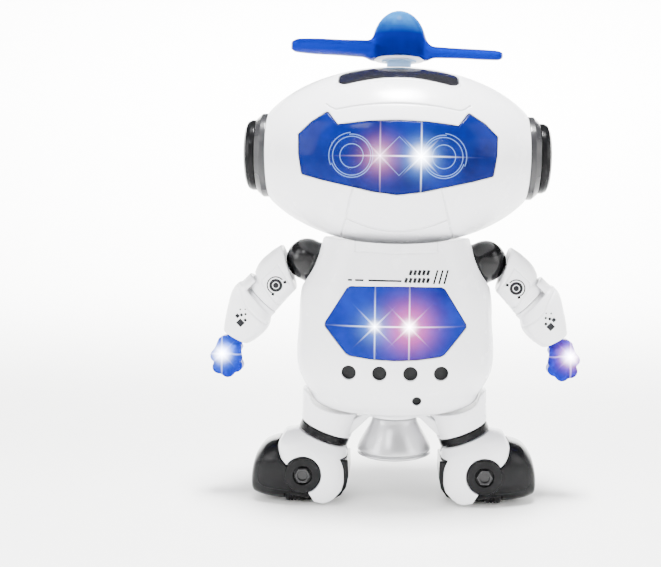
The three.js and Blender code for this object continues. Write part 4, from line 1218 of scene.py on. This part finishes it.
DISC = (54.7, 99.8)
badge = [
    ring_print(DISC, 0.02, 1.3), ring_print(DISC, 1.65, 3.0), ring_print(DISC, 3.6, 4.15, -66, 140),
    ring_print(DISC, 3.6, 4.9, -80, -64, 6), ring_print(DISC, 3.6, 5.0, 152, 168, 6),
]
squares = [
    (70.9, 82.4, 2.1), (68.6, 83.7, 0.9), (72.2, 85.6, 1.2), (70.3, 86.1, 0.9),
    (68.4, 86.5, 0.7), (70.8, 88.6, 0.5), (68.5, 88.7, 0.4),
]
diamonds = [
    bar((x - r / 2, z - r / 2), (x + r / 2, z + r / 2), r * math.sqrt(2), 3, 5) for x, z, r in squares
]
for side, mirror in SIDES:
    printed(f"sleeve_print_{side}", upper_arm, badge, f"arm_{side}", INK, mirror=mirror)
    printed(f"cuff_print_{side}", forearm, diamonds, f"forearm_and_hand_{side}", INK, mirror=mirror)

# ---- waist and legs -------------------------------------------------------------------------
STRUT = [(9, 40.2), (14, 40.2), (26, 33.4), (26, 30.2), (20.4, 30.2), (11.6, 38.6), (9, 38.6)]
pelvis = join(
    0.4,
    upright(22, 39, 5),
    upright(38.6, 40.3, 11, 0.3),
    upright(39, 54.5, 6),
    upright(45.2, 47.2, 10, 0.3),
    two_sided(slab(STRUT, -5, 5, 0.0, 0.8)),
)
piece("pelvis_frame", pelvis, 0.4)

BELL_BOTTOM, BELL_TOP = 20, 38.3
BELL = [
    (BELL_BOTTOM, 14.4), (21.4, 16.6), (23.2, 17.2), (25, 16.8), (27, 15.9),
    (29.6, 14.5), (33, 12.5), (36, 10.9), (BELL_TOP, 10.2),
]


def bell_skin(inset):
    radius = smooth(*zip(*BELL), 20)

    def distance(x, y, z):
        tilt = (radius(z + 0.3) - radius(z - 0.3)) / 0.6
        return (np.hypot(x, y) - radius(z) + inset) / np.sqrt(1 + tilt * tilt)

    return distance


def bell_line(x, y, z):
    return np.abs(z - 22.5) + 0 * x + 0 * y


def below(z):
    return plane((0, 0, z), UP)


bell_lip = turned([(15.4, 21.2), (17.15, 21.2), (17.15, 22.0), (15.4, 22.0)], 0.25)
bell_outer = overlap(
    0.7, engraved(bell_skin(0), bell_line, 0.42, 0.9), above(BELL_BOTTOM), below(BELL_TOP)
)
bell = cut(
    0.4,
    join(0.1, bell_lip, bell_outer),
    overlap(0.5, bell_skin(1.6), above(BELL_BOTTOM + 1.7), below(BELL_TOP - 1.7)),
    upright(30, 45, 5.3),
)
piece("skirt_bell", bell, 0.4, lines=bell_line)

LEG, LEG_DOWN = np.array([32.6, 0, 30.6]), np.array([0.375, 0, -0.927])
LEG_ACROSS = np.array([0.927, 0, 0.375])
ANKLE, ANKLE_RADIUS = (41.3, 14.2), 8.4
leg_rod, ankle_rod = rods_along(LEG, LEG_DOWN), rods_along((ANKLE[0], 0, ANKLE[1]), BACK)


def turning_torso(x, y, z):
    """Everything that the turning torso sweeps, and a gap."""
    heights = [row[0] for row in SECTIONS[:7]]
    reach = curve(z + 0.8, heights, [row[1] for row in SECTIONS[:7]]) + 0.8
    return np.maximum((np.hypot(x, y) - reach) * 0.8, 40 - z)


thigh_top = LEG - LEG_DOWN * 2.05
thigh = join(
    0.3,
    cut(
        0.8,
        limb(
            [
                (xz(thigh_top + LEG_ACROSS * 12.3), xz(thigh_top - LEG_ACROSS * 12.3), 12.3, 2.0),
                ((43, 43), (17.6, 37.5), 12.8, 2.1),
                ((42.8, 52), (14.5, 50), 13.2, 2.1),
            ],
            1.0,
        ),
        turning_torso,
        slab(grown(STRUT, GAP), -5.3, 5.3),
    ),
    leg_rod(-3, 6, 4.7),
)
pair("thigh", thigh, 0.42)
pair("leg_ring", cut(0.1, leg_rod(-1.75, 1.75, 12.1, 0.5), leg_rod(-9, 9, 5)), 0.4)

SHANK = [
    (22, 24.2), (21.4, 21), (22.4, 17), (22.7, 9.6), (23.9, 6.2),
    (26.6, 3.6), (29.2, 1.9), (32, 1.2), (36.1, 2.1),
    *arc(ANKLE, ANKLE_RADIUS, -108, -330, 30),
    (48.8, 18.6), (51.4, 20.9), (52.8, 23.6), (53.2, 26.4), (52.6, 28.8), (50.4, 32.4), (44.6, 33.2),
]
COLLAR = [
    ((44.6, 33.2), (22.15, 24.2), 12.2, 2), ((54, 30), (21.4, 20), 16.6, 2.6),
    ((55, 21), (21, 13), 18.2, 3.4), ((55, -1), (21, -1), 18.3, 4),
]
shank = cut(
    0.4,
    overlap(0.9, limb(COLLAR, 0.6), slab(SHANK, -22, 22, 0.35)),
    block((0, -12.5, -5), (60, 12.5, 20.3)),
    leg_rod(-5, 7, 5),
    rod((10, 0, 25.3), (24, 0, 25.3), 3.9),
)
pair("shank", shank, 0.42)

TOE = [
    (38, 1.2, 20, 17.9), (44, 1.2, 25, 17.8), (50, 1.2, 28.4, 17.1), (55, 1.4, 28.2, 15.8),
    (60, 2.0, 26.2, 13.6), (63.6, 3.0, 21.8, 11.2), (65.5, 4.2, 16.2, 9.0), (66, 5.8, 12, 7.4),
]
CORE = [(21, 20), (20.8, 12), (21.8, 7), (24.5, 3.2), (28.5, 1.2), (46, 1.2), (46, 20)]
WHEEL_X, WHEEL_Z, WHEEL_ROWS = 46, 6, {"front": -8, "rear": 8}


def wheel_rod(y, half, radius, edge=0.0):
    return rod((WHEEL_X - half, y, WHEEL_Z), (WHEEL_X + half, y, WHEEL_Z), radius, edge)


toe = limb([((x, high), (x, low - 0.6), depth, 2.8) for x, low, high, depth in TOE], 1.5)
wheel_room = [wheel_rod(y, *room) for y in WHEEL_ROWS.values() for room in ((4, 6.6), (6, 1.85))]
shoe = cut(
    0.3,
    overlap(
        0.5,
        join(
            0.5,
            cut(0.5, toe, slab(grown(SHANK, GAP), -22, 22)),
            slab(CORE, -12.2, 12.2, 0.0, 0.8),
            ankle_rod(-18.2, 18.2, ANKLE_RADIUS - GAP, 0.6),
        ),
        above(0.6),
    ),
    *wheel_room,
    block((23.5, -10.2, 4.4), (37.2, 10.2, 30)),
    ankle_rod(-20, -16.6, 4.2),
    ankle_rod(-20, -12.6, 2.1),
)
pair("shoe", shoe, 0.42)

HEXAGON = arc(ANKLE, 3.8, 0, 300, 5)
bolt = cut(
    0.2,
    join(0, slab(HEXAGON, -19.0, -16.9, 0.4, 0.5), ankle_rod(-18.2, -12.9, 1.8)),
    ankle_rod(-21, -17.6, 2.2),
)
pair("ankle_bolt", bolt, 0.22, (BOLT, BOLT))

for end, y in WHEEL_ROWS.items():
    grooves = [
        turned([(5.5, x - 0.3), (8, x - 0.3), (8, x + 0.3), (5.5, x + 0.3)], 0, "x", (y, WHEEL_Z))
        for x in (WHEEL_X - 1.5, WHEEL_X, WHEEL_X + 1.5)
    ]
    tyre = cut(0.2, join(0.2, wheel_rod(y, 3.5, 6, 0.6), wheel_rod(y, 5.3, 1.5)), *grooves)
    pair(f"wheel_{end}", tyre, 0.3)

# ---- light, floor and camera ----------------------------------------------------------------
FLOOR_RADIUS, WALL_BEND, WALL_HEIGHT = 0.85, 0.6, 0.75
CAMERA_DISTANCE, CAMERA_HEIGHT, CAMERA_LENS, CAMERA_SHIFT = 0.456, 0.135, 53.59, -0.0992
CAMERA_PITCH, CAMERA_ROLL = 4.31, 0.75


def stage_surface():
    """A pale round floor that curves up into a wall on every side."""
    bend = arc((FLOOR_RADIUS, WALL_BEND), WALL_BEND, -90, 0, 19)
    profile = [(0.3, 0.0), *bend, (FLOOR_RADIUS + WALL_BEND, WALL_HEIGHT)]
    turns = np.linspace(0, 2 * math.pi, 96, endpoint=False)
    points = [(r * math.sin(t), r * math.cos(t), z) for r, z in profile for t in turns]
    count = len(turns)
    faces = [
        (i * count + j, i * count + (j + 1) % count, (i + 1) * count + (j + 1) % count, (i + 1) * count + j)
        for i in range(len(profile) - 1)
        for j in range(count)
    ] + [(len(points), (j + 1) % count, j) for j in range(count)]
    mesh = bpy.data.meshes.new("floor")
    mesh.from_pydata([*points, (0, 0, 0)], [], faces)
    mesh.shade_smooth()
    floor = bpy.data.objects.new("floor", mesh)
    bpy.context.scene.collection.objects.link(floor)
    mesh.materials.append(moulded("pale_floor", (0.86, 0.86, 0.85), 0.55, spread=0.004, peel=0.0).material)


def area_light(name, place, aim, size, power, spread=180):
    lamp = bpy.data.lights.new(name, "AREA")
    lamp.shape = "RECTANGLE"
    lamp.size, lamp.size_y = size
    lamp.energy = power
    lamp.spread = math.radians(spread)
    obj = bpy.data.objects.new(name, lamp)
    obj.location = place
    obj.rotation_euler = (Vector(aim) - Vector(place)).to_track_quat("-Z", "Y").to_euler()
    bpy.context.scene.collection.objects.link(obj)


stage_surface()
world = bpy.data.worlds.new("studio")
world.use_nodes = True
world.node_tree.nodes["Background"].inputs["Color"].default_value = (0.95, 0.965, 1.0, 1.0)
world.node_tree.nodes["Background"].inputs["Strength"].default_value = 0.12
bpy.context.scene.world = world
area_light("key", (-0.40, -0.85, 0.95), (0, 0, 0.12), (0.22, 0.22), 5)
area_light("left_strip", (-0.62, -0.34, 0.42), (0, 0, 0.12), (0.28, 0.6), 4.5)
area_light("right_strip", (0.62, -0.34, 0.42), (0, 0, 0.12), (0.28, 0.6), 3)
area_light("top", (0.02, -0.08, 1.2), (0, 0, 0.1), (0.26, 0.26), 76)
area_light("backdrop_light", (0.0, 0.25, 1.6), (0, 1.3, 0.35), (1.8, 0.3), 130, spread=85)

camera = bpy.data.objects.new("camera", bpy.data.cameras.new("camera"))
camera.data.lens = CAMERA_LENS
camera.data.shift_x = CAMERA_SHIFT
camera.location = (0, -CAMERA_DISTANCE, CAMERA_HEIGHT)
level = Euler((math.radians(90 - CAMERA_PITCH), 0, 0)).to_matrix()
camera.rotation_euler = (level @ Euler((0, 0, math.radians(CAMERA_ROLL))).to_matrix()).to_euler()
bpy.context.scene.collection.objects.link(camera)
bpy.context.scene.camera = camera

# ---- CAD nodes that are shown as they are -----------------------------------------------------
for name, slot in SLOTS.items():
    node = frame["nodes"][name]
    if not node.hide_render:
        node.data.materials.clear()
        node.data.materials.append(LOOKS[slot])
